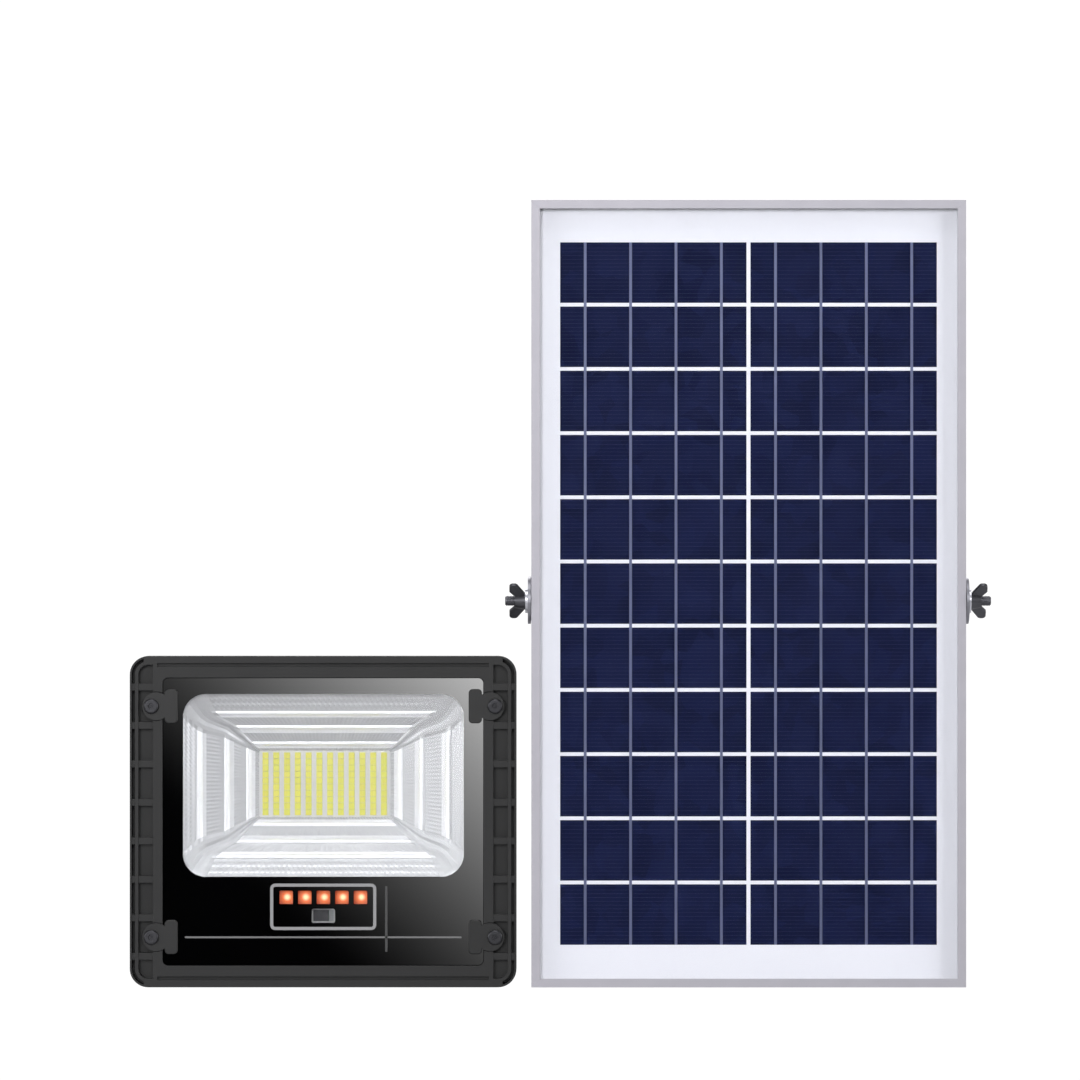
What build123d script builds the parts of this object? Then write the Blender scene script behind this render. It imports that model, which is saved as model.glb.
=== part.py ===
from build123d import *
import math
import os

# Solar flood light: a square LED flood lamp on a U bracket, and a separate framed solar panel
# on a U bracket of its own, both screwed to the same wall.
# Every size is in millimetres. +X is right, +Y points into the wall, +Z is up, and the wall is
# the plane y = 0. The origin is the middle of the lamp bracket's wall face.

# Gaps shared by the whole part
RUN_GAP = 0.08          # radial gap of a shaft that turns or slides in a hole
SCREW_GAP = 0.05        # radial gap of a screw in the hole that holds it
SLIP_GAP = 0.3          # gap round a piece that drops into a recess
SCREW_ROOM = 0.2        # radial room of a screw that passes through
MERGE = 1.0             # how far bodies made as one run into each other
EDGE_BREAK = 0.4        # small chamfer on clips and glass
SMALL_SCREW = 1.5       # shank radius of the M3 screws
SMALL_HEAD = 2.9
BOARD_HEAD = 2.6        # head radius of the screws inside the lamp
CLIP_SCREW = 2.0
CLIP_HEAD = 4.05
CLIP_SCREW_LENGTH = 8.0  # below the clip
BOARD_SCREW = 1.25      # shank radius of the M2.5 screws
BOARD_SCREW_HEAD = 2.2
BOARD_SCREW_HEAD_HEIGHT = 1.6
BOARD_SCREW_FLATS = 1.6
CONTROL_SCREW_GRIP = 2.8
SMALL_HEAD_HEIGHT = 2.0
SMALL_FLATS = 2.2
BOARD_HEAD_FLATS = 2.0
CLIP_HEAD_HEIGHT = 2.2
CLIP_FLATS = 3.0
LED_HEAD_HEIGHT = 1.8

# Lamp: outline and place
LAMP_WIDTH = 209.0
LAMP_HEIGHT = 179.0
LAMP_CORNER = 10.0
LAMP_REACH = 95.0       # wall to lamp pivot
LAMP_AHEAD = 34.0       # lamp pivot to the lamp's front face
RIM_DEPTH = 14.0        # depth of the broad front rim
LAMP_WALL = 3.5
RAIL_WIDTH = 17.7       # outer side to glass recess
BAR_WIDTH = 11.7        # top or bottom to glass recess
LEDGE_WIDTH = 5.0       # seat of the glass gasket

# Lamp: the ribbed pockets of the side rails
RIM_LIP = 1.1           # thin outer lip
SIDE_GROOVE = 1.7       # groove behind the lip
POCKET_OUTER_WALL = 1.9
POCKET_INNER_WALL = 5.2
POCKET_DEPTH = 4.5
GROOVE_DEPTH = 6.0
RIB_THICKNESS = 3.8
RIB_COUNT = 8           # ribs on each side
END_POCKET = 6.3        # half the height that the end pockets take from the ribs
BAR_GROOVE = 1.9        # groove along the top and bottom bars
BAR_GROOVE_INSET = 3.9
BAR_GROOVE_DEPTH = 2.0
BAR_GROOVE_END = 2.4       # bar groove's end to the side pocket
POCKET_CORNER = 5.3
GROOVE_RUN = 15.0          # width of the side strips that hold the side groove
RIB_DROP = 0.6             # rib tops behind the front face
RIM_ROUND = 2.0
TUB_CORNER = 6.0
GLASS_CORNER = 3.0
CHAMBER_CORNER = 4.0
BAY_CORNER = 3.0
COVER_POST = 4.2           # radius of the posts that take the cover screws
COVER_POST_LENGTH = 14.0
COVER_SCREW_GRIP = 9.0
LED_SCREW_GRIP = 3.2
HOLDER_SCREW_GRIP = 4.0
HOLE_SPARE = 0.4           # screw hole deeper than its screw
CLIP_SCREW_HOLE = 10.0
COVER_SCREW_HOLE = 12.0
HOLDER_SCREW_HOLE = 4.5

# Lamp: glass, gasket and reflector
GLASS_THICKNESS = 4.0
GLASS_SINK = 1.5        # glass face behind the lamp's front face
GASKET_THICKNESS = 2.0
REFLECTOR_Z = 19.5      # centre of the light window above the pivot
WINDOW_WIDTH = 152.0
WINDOW_HEIGHT = 99.0
WINDOW_CORNER = 12.5
REFLECTOR_DEPTH = 18.0
REFLECTOR_SHEET = 1.0
REFLECTOR_BORDER = 4.0  # flat edge outside the bowl
REFLECTOR_TREAD = 1.0   # flat step between two slopes
REFLECTOR_STAGES = 3
REFLECTOR_OVERLAP = 1.0  # bowl's mouth behind the edge of the window
STAGE_CORNER_STEP = 3.2  # corner radius lost from one stage to the next
SLOPE_CORNER_STEP = 2.6  # corner radius lost down one slope
TREAD_MERGE = 0.2        # tread's run into the slope in front of it
LIGHT_OPENING_WIDTH = 71.4
LIGHT_OPENING_HEIGHT = 36.0

# Lamp: light emitting diodes on their board
LED_COLUMNS = 12
LED_ROWS = 10
LED_COLUMN_PITCH = 5.86
LED_ROW_PITCH = 3.45
LED_WIDTH = 3.3
LED_HEIGHT = 3.15
LED_THICKNESS = 0.8
BOARD_THICKNESS = 1.6
BOARD_CORNER = 2.0
LED_BOARD_WIDTH = 100.0
LED_BOARD_HEIGHT = 62.0
LED_SCREW_INSET = 5.0
SEAT_THICKNESS = 4.0    # wall that the light board sits on
WIRE_HOLE = 3.0         # passage between the light chamber and the battery bay
WIRE_HOLE_X = 60.0

# Lamp: cooling fins and battery bay
FIN_PITCH = 10.4
FIN_THICKNESS = 2.4
FIN_TAPER_HEIGHT = 14.0   # part of the fin below its top that tapers
FIN_TAPER_DEPTH = 8.0
FIN_TOP_DROP = 3.0
LAMP_FIN_DEPTH = 58.0   # fin tips behind the lamp's front face
BAY_HEIGHT = 36.8       # inside height of the battery bay
BAY_DEPTH = 70.0        # bay rim behind the lamp's front face
COVER_THICKNESS = 3.0
COVER_GASKET = 1.0
COVER_ROUND = 0.8
CELL_RADIUS = 16.25
CELL_LENGTH = 70.5
CELL_CLEARANCE = 10.7   # battery cell to the bay rim
HOLDER_FLOOR = 3.0
HOLDER_SADDLE = 14.0
FOAM_WIDTH = 22.0
FOAM_X = 28.0
FOAM_INSET = 4.0        # foam to the bay's top and bottom
FOAM_GAP = 0.15
HOLDER_PAD_LIP = 3.55   # ledge that carries the holder, inwards of its screw
HOLDER_PAD_ROOT = 0.25  # the ledge's run into the side wall
HOLDER_PAD_HEIGHT = 12.0
HOLDER_PAD_DEPTH = 5.0
HOLDER_LUG_OUT = 7.6    # holder screw beyond the cell's outer end
SADDLE_OUT = 2.6        # saddle beyond the cell's outer end
CELL_BUTTON = 4.0       # radius of the cell's raised pole
CELL_POLE = 1.0         # height of the raised pole
CELL_SPLIT = 0.2        # half the gap between the two cells
CONTACT_RADIUS = 7.0
CONTACT_SHEET = 0.8
BUTTON_X = 52.0
BEZEL_RADIUS = 7.0
BEZEL_RIM = 9.5
BEZEL_HEIGHT = 1.6
CAP_RADIUS = 5.0
CAP_FLANGE = 6.2
CAP_FLANGE_HEIGHT = 1.2
CAP_TRAVEL = 1.5
CAP_REST_GAP = 0.2      # cap's flange to its stop at rest
BARREL_PAST_COVER = 2.0
BEZEL_ROUND = 0.7
CAP_PROUD = 2.8         # cap above the bezel at rest
SWITCH_WALL = 0.6
SWITCH_FLOOR = 1.8
SWITCH_ROOM = 4.6       # space behind the pressed cap
STEM_RADIUS = 1.5
VENT_X = -52.0
VENT_RADIUS = 4.0
VENT_FLATS = 12.0
VENT_HEAD = 3.0
VENT_BORE = 1.0
VENT_INSIDE = 3.5       # plug's thread past the cover

# Lamp: boards and status lights behind the lower glass
STATUS_COUNT = 5
STATUS_SIZE = 7.4
STATUS_PITCH = 10.05
STATUS_Z = -41.1
RECEIVER_WIDTH = 12.8
RECEIVER_HEIGHT = 7.9
RECEIVER_Z = -51.0
STATUS_BOARD_WIDTH = 62.0
STATUS_BOARD_HEIGHT = 23.0
STATUS_LED_THICKNESS = 1.8
STATUS_LED_GAP = 0.5    # status lights behind the glass seat
STATUS_CORNER = 1.0
STATUS_HOLDER_INSET = 1.0
STATUS_HOLDER_CORNER = 1.5
LENS_ROOM = 0.2         # holder's openings wider than what they hold
REFLECTOR_GAP = 0.2     # glass to the reflector
CONTROL_BOARD_WIDTH = 150.0
CONTROL_BOARD_HEIGHT = 33.0
CONTROL_BACK_GAP = 3.0  # controller board to the battery holder
CONTROL_HOLE_X = 5.0    # board's end to its screws
CONTROL_HOLE_Z = 4.5
CONTROL_POST = 2.8
COIL_X = -46.0
COIL_RADIUS = 6.0
COIL_HEIGHT = 6.0
CHIP_X = 42.0
CHIP_SIZE = 10.0
CHIP_HEIGHT = 1.5
CAPACITOR_RADIUS = 4.0
CAPACITOR_HEIGHT = 7.0
CAPACITOR_X = (-34.0, 52.0)
CAPACITOR_Z = 6.0       # above the middle of the bay
TERMINAL_WIDTH = 12.0
TERMINAL_HEIGHT = 8.0
TERMINAL_DEPTH = 7.0
TERMINAL_X = (-62.0, 61.0)
TERMINAL_Z = -5.0
SPACER_X = 27.0
SPACER_FLATS = 5.0
STATUS_BOARD_DROP = 0.7  # status board below the top of the bay

# Lamp: clips that hold the glass
CLIP_THICKNESS = 1.5
CLIP_PAD_WIDTH = 7.2
CLIP_PAD_HEIGHT = 18.5
CLIP_REACH = 8.2        # how far a clip reaches over the glass
CLIP_ROUND = 7.6
CLIP_ROUND_OUT = 2.7    # centre of the round end from the screw
CLIP_NECK = 11.0
CLIP_PAD_CORNER = 2.2
CLIP_POST = 5.6         # radius of the boss under each clip
CLIP_SCREW_INSET = 11.6  # screw from the lamp's side

# Lamp: bracket and pivot
LAMP_STRAP = 2.5
STRAP_WIDTH = 25.0      # shared by both brackets
LAMP_ARM_GAP = 6.2        # lamp's tub to each bracket arm
PIVOT_BOLT_RADIUS = 4.0
PIVOT_BOLT_FLATS = 13.0
PIVOT_BOLT_HEAD = 5.3
PIVOT_BOLT_GRIP = 11.0  # length screwed into the lamp
PIVOT_BOSS = 11.0
PIVOT_BOSS_ROOT = 3.5   # boss inside the tub's wall
PIVOT_CHEEK = 30.0
PIVOT_WASHER_RADIUS = 8.4
PIVOT_WASHER = 1.6
BEND_RADIUS = 5.0
LAMP_SLOT_SPACING = 110.0
LAMP_SLOT_LENGTH = 14.0
LAMP_SLOT_RADIUS = 3.25

# Panel: outline and place
PANEL_WIDTH = 235.0
PANEL_HEIGHT = 425.5
PANEL_DEPTH = 17.0
PANEL_GAP = 8.0         # lamp side to panel side
PANEL_REACH = 118.0     # wall to panel pivot
PANEL_PIVOT_BELOW = 4.0  # pivot below the panel's middle
NUT_ABOVE_LAMP = 8.0    # least room between the lamp's top and the turning wing nut
FRAME_SHEET = 1.2
FRAME_LIP = 4.6
LEDGE_SHEET = 1.0
LEDGE_REACH = 8.0
REAR_FLANGE = 12.0
CORNER_KEY_LEG = 34.0
CORNER_KEY_WIDTH = 8.0
CORNER_KEY_GAP = 0.25
MITRE = 40.0            # reach of the cut that mitres a rail's end

# Panel: the laminate
SEAL_FACE = 0.3         # seal in front of and behind the laminate
SEAL_EDGE = 0.8         # seal round the laminate's edge
PANEL_GLASS = 3.2
ENCAPSULANT = 0.8
BACKSHEET = 0.4
CELL_COLUMNS = 2
CELL_ROWS = 11
CELL_SIDE_MARGIN = 15.6  # panel side to the first solar cell
CELL_END_MARGIN = 22.7   # panel end to the first solar cell
CELL_COLUMN_GAP = 2.2
CELL_ROW_GAP = 2.0
WAFER = 0.3
RIBBON = 0.15
RIBBON_WIDTH = 1.5
RIBBONS_PER_CELL = 4
RIBBON_MARGIN = 13.55   # cell side to its first ribbon

# Panel: junction box on the back
BOX_WIDTH = 80.0
BOX_HEIGHT = 60.0
BOX_DEPTH = 22.2
BOX_WALL = 2.2
BOX_CORNER = 6.0
BOX_BELOW_TOP = 51.75   # panel's top to the middle of the box
BOX_LID = 2.4
BOX_GASKET = 0.8
BOX_SCREW_INSET = 6.0
BOX_SCREW_GRIP = 8.0
BOX_SCREW_HOLE = 10.0
BOX_POST = 4.0
BOX_LID_ROUND = 1.0
BOX_BOARD_WIDTH = 44.0
BOX_BOARD_HEIGHT = 22.0
BOX_BOARD_Z = 12.0      # above the middle of the box
BOX_TERMINAL_X = 15.0
BOX_TERMINAL_WIDTH = 9.0
BOX_TERMINAL_HEIGHT = 14.0
BOX_TERMINAL_DEPTH = 8.0
DIODE_RADIUS = 2.6
DIODE_LENGTH = 10.0

# Panel: bracket, pivot bolts and wing nuts
PANEL_STRAP = 1.6
WING_BOLT_RADIUS = 2.5
WING_BOLT_FLATS = 8.0
WING_BOLT_HEAD = 3.5
WING_BOLT_END = 12.3    # bolt end outside the bracket arm
WASHER_THICKNESS = 1.4
WASHER_RADIUS = 6.6
WASHER_ROOM = 0.15
WING_HUB_RADIUS = 4.8
WING_HUB_LENGTH = 5.6
WING_SPAN = 24.0
WING_REACH = 8.6        # wing tips outside the washer
WING_THICKNESS = 1.9
WING_ANGLE = 42.0       # the wings' turn away from upright
WING_ROOT = 2.0
WING_ROOT_TOP = 3.2
WING_HUB_TAPER = 1.0
WING_TIP_FOOT = 4.73    # where the tip's side begins
WING_FOOT = 0.6         # wing above the nut's seat
WING_TIP_WIDTH = 4.6
WING_TIP_ROUND = 2.0
PANEL_SLOT_SPACING = 150.0
PANEL_SLOT_LENGTH = 14.0
PANEL_SLOT_RADIUS = 3.25

# Cable glands, alike on the lamp and on the junction box
GLAND_THREAD = 6.0
GLAND_BORE = 3.3
GLAND_HEX = 17.0
GLAND_COLLAR = 5.0
GLAND_DOME = 10.0
GLAND_LOCKNUT = 4.0
GLAND_SEAL_BORE = 3.0
GLAND_SEAL_WALL = 1.6
GLAND_THREAD_SPARE = 0.8  # thread past the locknut
GLAND_SEAL_SHORT = 2.0    # seal shorter than the domed nut
GLAND_NUT_STEP = 1.5      # domed nut smaller than the body across flats
GLAND_NUT_SHARE = 0.45    # hexagonal share of the domed nut's length
GLAND_TAPER = 1.2

# Places worked out from the sizes above, along Y for the lamp
FRONT_Y = -(LAMP_REACH + LAMP_AHEAD)
GLASS_Y = FRONT_Y + GLASS_SINK
GLASS_BACK_Y = GLASS_Y + GLASS_THICKNESS
LEDGE_Y = GLASS_BACK_Y + GASKET_THICKNESS
RIM_BACK_Y = FRONT_Y + RIM_DEPTH
REFLECTOR_Y = GLASS_BACK_Y + REFLECTOR_GAP
LED_BOARD_Y = REFLECTOR_Y + REFLECTOR_DEPTH
SEAT_Y = LED_BOARD_Y + BOARD_THICKNESS
SEAT_BACK_Y = SEAT_Y + SEAT_THICKNESS
FIN_TIP_Y = FRONT_Y + LAMP_FIN_DEPTH
BAY_RIM_Y = FRONT_Y + BAY_DEPTH
COVER_Y = BAY_RIM_Y + COVER_GASKET
COVER_BACK_Y = COVER_Y + COVER_THICKNESS
CELL_Y = COVER_Y - CELL_CLEARANCE - CELL_RADIUS
HOLDER_Y = CELL_Y - CELL_RADIUS - SLIP_GAP - HOLDER_FLOOR
CONTROL_BACK_Y = HOLDER_Y - CONTROL_BACK_GAP
CONTROL_Y = CONTROL_BACK_Y - BOARD_THICKNESS
STATUS_LED_Y = REFLECTOR_Y + STATUS_LED_GAP
STATUS_BOARD_Y = STATUS_LED_Y + STATUS_LED_THICKNESS

# Places and widths across the lamp
GLASS_WIDTH = LAMP_WIDTH - 2 * RAIL_WIDTH
GLASS_HEIGHT = LAMP_HEIGHT - 2 * BAR_WIDTH
CAVITY_WIDTH = GLASS_WIDTH - 2 * LEDGE_WIDTH
CAVITY_HEIGHT = GLASS_HEIGHT - 2 * LEDGE_WIDTH
TUB_WIDTH = CAVITY_WIDTH + 2 * LAMP_WALL
TUB_HEIGHT = CAVITY_HEIGHT + 2 * LAMP_WALL
HOLDER_LUG_X = CELL_LENGTH + HOLDER_LUG_OUT
HOLDER_PAD_INNER = HOLDER_LUG_X - HOLDER_PAD_LIP
HOLDER_PAD_OUTER = CAVITY_WIDTH / 2 + HOLDER_PAD_ROOT
BAY_BOTTOM = -CAVITY_HEIGHT / 2
BAY_TOP = BAY_BOTTOM + BAY_HEIGHT
BAY_Z = (BAY_BOTTOM + BAY_TOP) / 2
CHAMBER_BOTTOM = BAY_TOP + LAMP_WALL
COVER_HEIGHT = BAY_HEIGHT + 2 * LAMP_WALL
COVER_SCREW_X = CAVITY_WIDTH / 2 - 4.1
COVER_SCREW_Z = BAY_HEIGHT / 2 - 4.1
RIB_PITCH = (LAMP_HEIGHT - 2 * END_POCKET) / RIB_COUNT
CLIP_X = LAMP_WIDTH / 2 - CLIP_SCREW_INSET
CLIP_Z = (RIB_COUNT / 2 - 1) * RIB_PITCH
POCKET_OUTER_X = LAMP_WIDTH / 2 - RIM_LIP - SIDE_GROOVE - POCKET_OUTER_WALL
POCKET_INNER_X = GLASS_WIDTH / 2 + POCKET_INNER_WALL
ARM_INNER_X = TUB_WIDTH / 2 + LAMP_ARM_GAP
ARM_OUTER_X = ARM_INNER_X + LAMP_STRAP

# Places for the panel
PANEL_X = LAMP_WIDTH / 2 + PANEL_GAP + PANEL_WIDTH / 2
PANEL_LOWEST = (LAMP_HEIGHT + WING_SPAN) / 2 + NUT_ABOVE_LAMP + PANEL_PIVOT_BELOW
PANEL_Z = max((PANEL_HEIGHT - LAMP_HEIGHT) / 2, PANEL_LOWEST)
PIVOT_Z = PANEL_Z - PANEL_PIVOT_BELOW
SLOT_DEPTH = 2 * SEAL_FACE + PANEL_GLASS + ENCAPSULANT + BACKSHEET
FRAME_CAVITY = PANEL_DEPTH - 2 * FRAME_SHEET - SLOT_DEPTH - LEDGE_SHEET
PANEL_FRONT_Y = -(PANEL_REACH + FRAME_CAVITY / 2 + LEDGE_SHEET + SLOT_DEPTH + FRAME_SHEET)
SLOT_Y = PANEL_FRONT_Y + FRAME_SHEET
PANEL_GLASS_Y = SLOT_Y + SEAL_FACE
ENCAPSULANT_Y = PANEL_GLASS_Y + PANEL_GLASS
BACKSHEET_Y = ENCAPSULANT_Y + ENCAPSULANT
BACKSHEET_BACK_Y = BACKSHEET_Y + BACKSHEET
FRAME_LEDGE_Y = SLOT_Y + SLOT_DEPTH
FRAME_CAVITY_Y = FRAME_LEDGE_Y + LEDGE_SHEET
PANEL_BACK_Y = PANEL_FRONT_Y + PANEL_DEPTH
LAMINATE_WIDTH = PANEL_WIDTH - 2 * (FRAME_SHEET + SEAL_EDGE)
LAMINATE_HEIGHT = PANEL_HEIGHT - 2 * (FRAME_SHEET + SEAL_EDGE)
CELL_WIDTH = (PANEL_WIDTH - 2 * CELL_SIDE_MARGIN - (CELL_COLUMNS - 1) * CELL_COLUMN_GAP) / CELL_COLUMNS
CELL_HEIGHT = (PANEL_HEIGHT - 2 * CELL_END_MARGIN - (CELL_ROWS - 1) * CELL_ROW_GAP) / CELL_ROWS
RIBBON_PITCH = (CELL_WIDTH - 2 * RIBBON_MARGIN) / (RIBBONS_PER_CELL - 1)
BOX_Z = PANEL_Z + PANEL_HEIGHT / 2 - BOX_BELOW_TOP
BOX_RIM_Y = BACKSHEET_BACK_Y + BOX_DEPTH
BOX_GLAND_Y = (BACKSHEET_BACK_Y + BOX_WALL + BOX_RIM_Y) / 2
ARM_HALF_GAP = PANEL_WIDTH / 2 + SLIP_GAP

BASE = (Align.CENTER, Align.CENTER, Align.MIN)
TURNS = {
    "front": (90, 0, 0),
    "back": (-90, 0, 0),
    "right": (0, 90, 0),
    "left": (0, -90, 0),
    "down": (180, 0, 0),
}


def toward(side, x, y, z):
    """Place at (x, y, z) whose own +Z points to the named side."""
    return Location((x, y, z), TURNS[side])


def across(sketch, front_y, back_y, x=0.0, z=0.0):
    """Solid from front_y back to back_y, its outline drawn as seen from the front."""
    return toward("front", x, back_y, z) * extrude(sketch, back_y - front_y)


def block(width, height, front_y, back_y, x=0.0, z=0.0, corner=0.0):
    """Upright plate or block seen from the front, with corners rounded about Y."""
    outline = RectangleRounded(width, height, corner) if corner else Rectangle(width, height)
    return across(outline, front_y, back_y, x, z)


def rod(side, radius, length, x, y, z):
    """Round rod that starts at (x, y, z) and runs to the named side."""
    return toward(side, x, y, z) * Cylinder(radius, length, align=BASE)


def washer(side, radius, hole, thickness, x, y, z):
    """Flat ring that starts at (x, y, z) and thickens to the named side."""
    ring = Cylinder(radius, thickness, align=BASE) - Cylinder(hole, thickness, align=BASE)
    return toward(side, x, y, z) * ring


def hexagon(flats):
    """Hexagon of the given width across flats."""
    return RegularPolygon(flats / math.sqrt(3), 6)


def round_screw(radius, length, head_radius, head_height, socket_flats):
    """Round-headed socket screw: head above z = 0 and shank below it."""
    head = Cylinder(head_radius, head_height, align=BASE)
    head = fillet(head.edges().group_by(Axis.Z)[-1], head_height * 0.45)
    socket = Pos(0, 0, head_height * 0.4) * extrude(hexagon(socket_flats), head_height)
    pin = Pos(0, 0, head_height * 0.4) * Cylinder(socket_flats * 0.18, head_height * 0.35, align=BASE)
    shank = Pos(0, 0, -length) * Cylinder(radius, length, align=BASE)
    return (head - socket) + pin + shank


def hex_bolt(radius, length, flats, head_height):
    """Hexagon-headed bolt: head above z = 0 and shank below it."""
    shank = Pos(0, 0, -length) * Cylinder(radius, length, align=BASE)
    shank = chamfer(shank.edges().group_by(Axis.Z)[0], radius * 0.2)
    return extrude(hexagon(flats), head_height) + shank


def ring_of(points, solid, side, y):
    """Copies of a solid at (x, z) points on the plane y, each turned to the named side."""
    return [toward(side, x, y, z) * solid for x, z in points]


def corners(x, z, centre_x=0.0, centre_z=0.0):
    """The four (x, z) corners about a centre."""
    return [(centre_x + sx * x, centre_z + sz * z) for sx in (-1, 1) for sz in (-1, 1)]


def save(name, shape):
    """Write one node, which may be one solid or a list of separate solids."""
    solids = shape if isinstance(shape, list) else [shape]
    solids = [piece for item in solids for piece in item.solids()]
    whole = solids[0] if len(solids) == 1 else Compound(children=solids)
    export_step(whole, f"parts/{name}.step")


# Lamp ------------------------------------------------------------------------------------------

LED_SCREWS = corners(LED_BOARD_WIDTH / 2 - LED_SCREW_INSET,
                     LED_BOARD_HEIGHT / 2 - LED_SCREW_INSET, 0, REFLECTOR_Z)
COVER_SCREWS = corners(COVER_SCREW_X, COVER_SCREW_Z, 0, BAY_Z)
CONTROL_SCREWS = corners(CONTROL_BOARD_WIDTH / 2 - CONTROL_HOLE_X,
                         CONTROL_BOARD_HEIGHT / 2 - CONTROL_HOLE_Z, 0, BAY_Z)
CLIP_SCREWS = corners(CLIP_X, CLIP_Z)
STATUS_BOARD_Z = BAY_TOP - STATUS_BOARD_DROP - STATUS_BOARD_HEIGHT / 2


def side_pockets():
    """Cutters of one side rail: the long ribbed pocket and the groove behind the outer lip."""
    width = POCKET_OUTER_X - POCKET_INNER_X
    height = LAMP_HEIGHT - 2 * (LAMP_WIDTH / 2 - POCKET_OUTER_X)
    middle = (POCKET_OUTER_X + POCKET_INNER_X) / 2
    pocket = block(width, height, FRONT_Y, FRONT_Y + POCKET_DEPTH, middle, 0)
    pocket = fillet(pocket.edges().filter_by(Axis.Y).group_by(Axis.X)[-1], POCKET_CORNER)
    outer = RectangleRounded(LAMP_WIDTH - 2 * RIM_LIP, LAMP_HEIGHT - 2 * RIM_LIP,
                             LAMP_CORNER - RIM_LIP)
    inset = RIM_LIP + SIDE_GROOVE
    inner = RectangleRounded(LAMP_WIDTH - 2 * inset, LAMP_HEIGHT - 2 * inset, LAMP_CORNER - inset)
    side = Pos(LAMP_WIDTH / 2, 0) * Rectangle(GROOVE_RUN, LAMP_HEIGHT)
    groove = across((outer - inner) & side, FRONT_Y, FRONT_Y + GROOVE_DEPTH)
    rib_reach = LAMP_WIDTH / 2 - RIM_LIP - POCKET_INNER_X
    for row in range(RIB_COUNT):
        rib_z = (row - (RIB_COUNT - 1) / 2) * RIB_PITCH
        rib = block(rib_reach, RIB_THICKNESS, FRONT_Y + RIB_DROP, FRONT_Y + GROOVE_DEPTH,
                    POCKET_INNER_X + rib_reach / 2, rib_z)
        pocket -= rib
        groove -= rib
    return [pocket, groove]


def clip_outline(extra=0.0):
    """Outline of a glass clip about its screw, with its pad on the -X side."""
    pad_x = -(RAIL_WIDTH - CLIP_SCREW_INSET + CLIP_REACH) + CLIP_PAD_WIDTH / 2
    neck = Pos((pad_x - CLIP_ROUND_OUT) / 2, 0) * Rectangle(-CLIP_ROUND_OUT - pad_x,
                                                            CLIP_NECK + 2 * extra)
    pad = Pos(pad_x, 0) * RectangleRounded(CLIP_PAD_WIDTH + 2 * extra,
                                           CLIP_PAD_HEIGHT + 2 * extra, CLIP_PAD_CORNER)
    return (Pos(-CLIP_ROUND_OUT, 0) * Circle(CLIP_ROUND + extra)) + neck + pad


def both_sides(solid):
    """A right-hand solid and its mirror image."""
    return [solid, mirror(solid, Plane.YZ)]


def make_clips():
    """Four pressed clips that hold the glass down."""
    clip = across(clip_outline() - Circle(CLIP_SCREW + SCREW_ROOM), FRONT_Y, GLASS_Y, CLIP_X, 0)
    clip = chamfer(clip.edges().group_by(Axis.Y)[0].filter_by(Axis.Z), EDGE_BREAK)
    rows = [Pos(0, 0, CLIP_Z) * clip, Pos(0, 0, -CLIP_Z) * clip]
    return [piece for row in rows for piece in both_sides(row)]


def cooling_fins():
    """Upright fins behind the light seat, one joined solid after the housing takes them."""
    top = TUB_HEIGHT / 2
    root_y, foot_z = SEAT_BACK_Y - MERGE, CHAMBER_BOTTOM - MERGE
    profile = [(root_y, foot_z), (FIN_TIP_Y, foot_z), (FIN_TIP_Y, top - FIN_TAPER_HEIGHT),
               (FIN_TIP_Y - FIN_TAPER_DEPTH, top - FIN_TOP_DROP), (root_y, top)]
    outline = Polygon(*profile, align=None)
    fin = extrude(Plane.YZ * outline, FIN_THICKNESS / 2, both=True)
    per_side = int((TUB_WIDTH / 2 - FIN_THICKNESS / 2) / FIN_PITCH)
    return [Pos(step * FIN_PITCH, 0, 0) * fin for step in range(-per_side, per_side + 1)]


def pivot_boss():
    """Round boss and cheek that carry the right-hand pivot bolt."""
    inner_x = TUB_WIDTH / 2 - LAMP_WALL - PIVOT_BOSS_ROOT
    boss = rod("right", PIVOT_BOSS, ARM_INNER_X - inner_x, inner_x, -LAMP_REACH, 0)
    cheek = block(TUB_WIDTH / 2 - inner_x, PIVOT_CHEEK, SEAT_BACK_Y - MERGE,
                  PIVOT_BOSS - LAMP_REACH, (TUB_WIDTH / 2 + inner_x) / 2, 0)
    return boss + cheek


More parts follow.
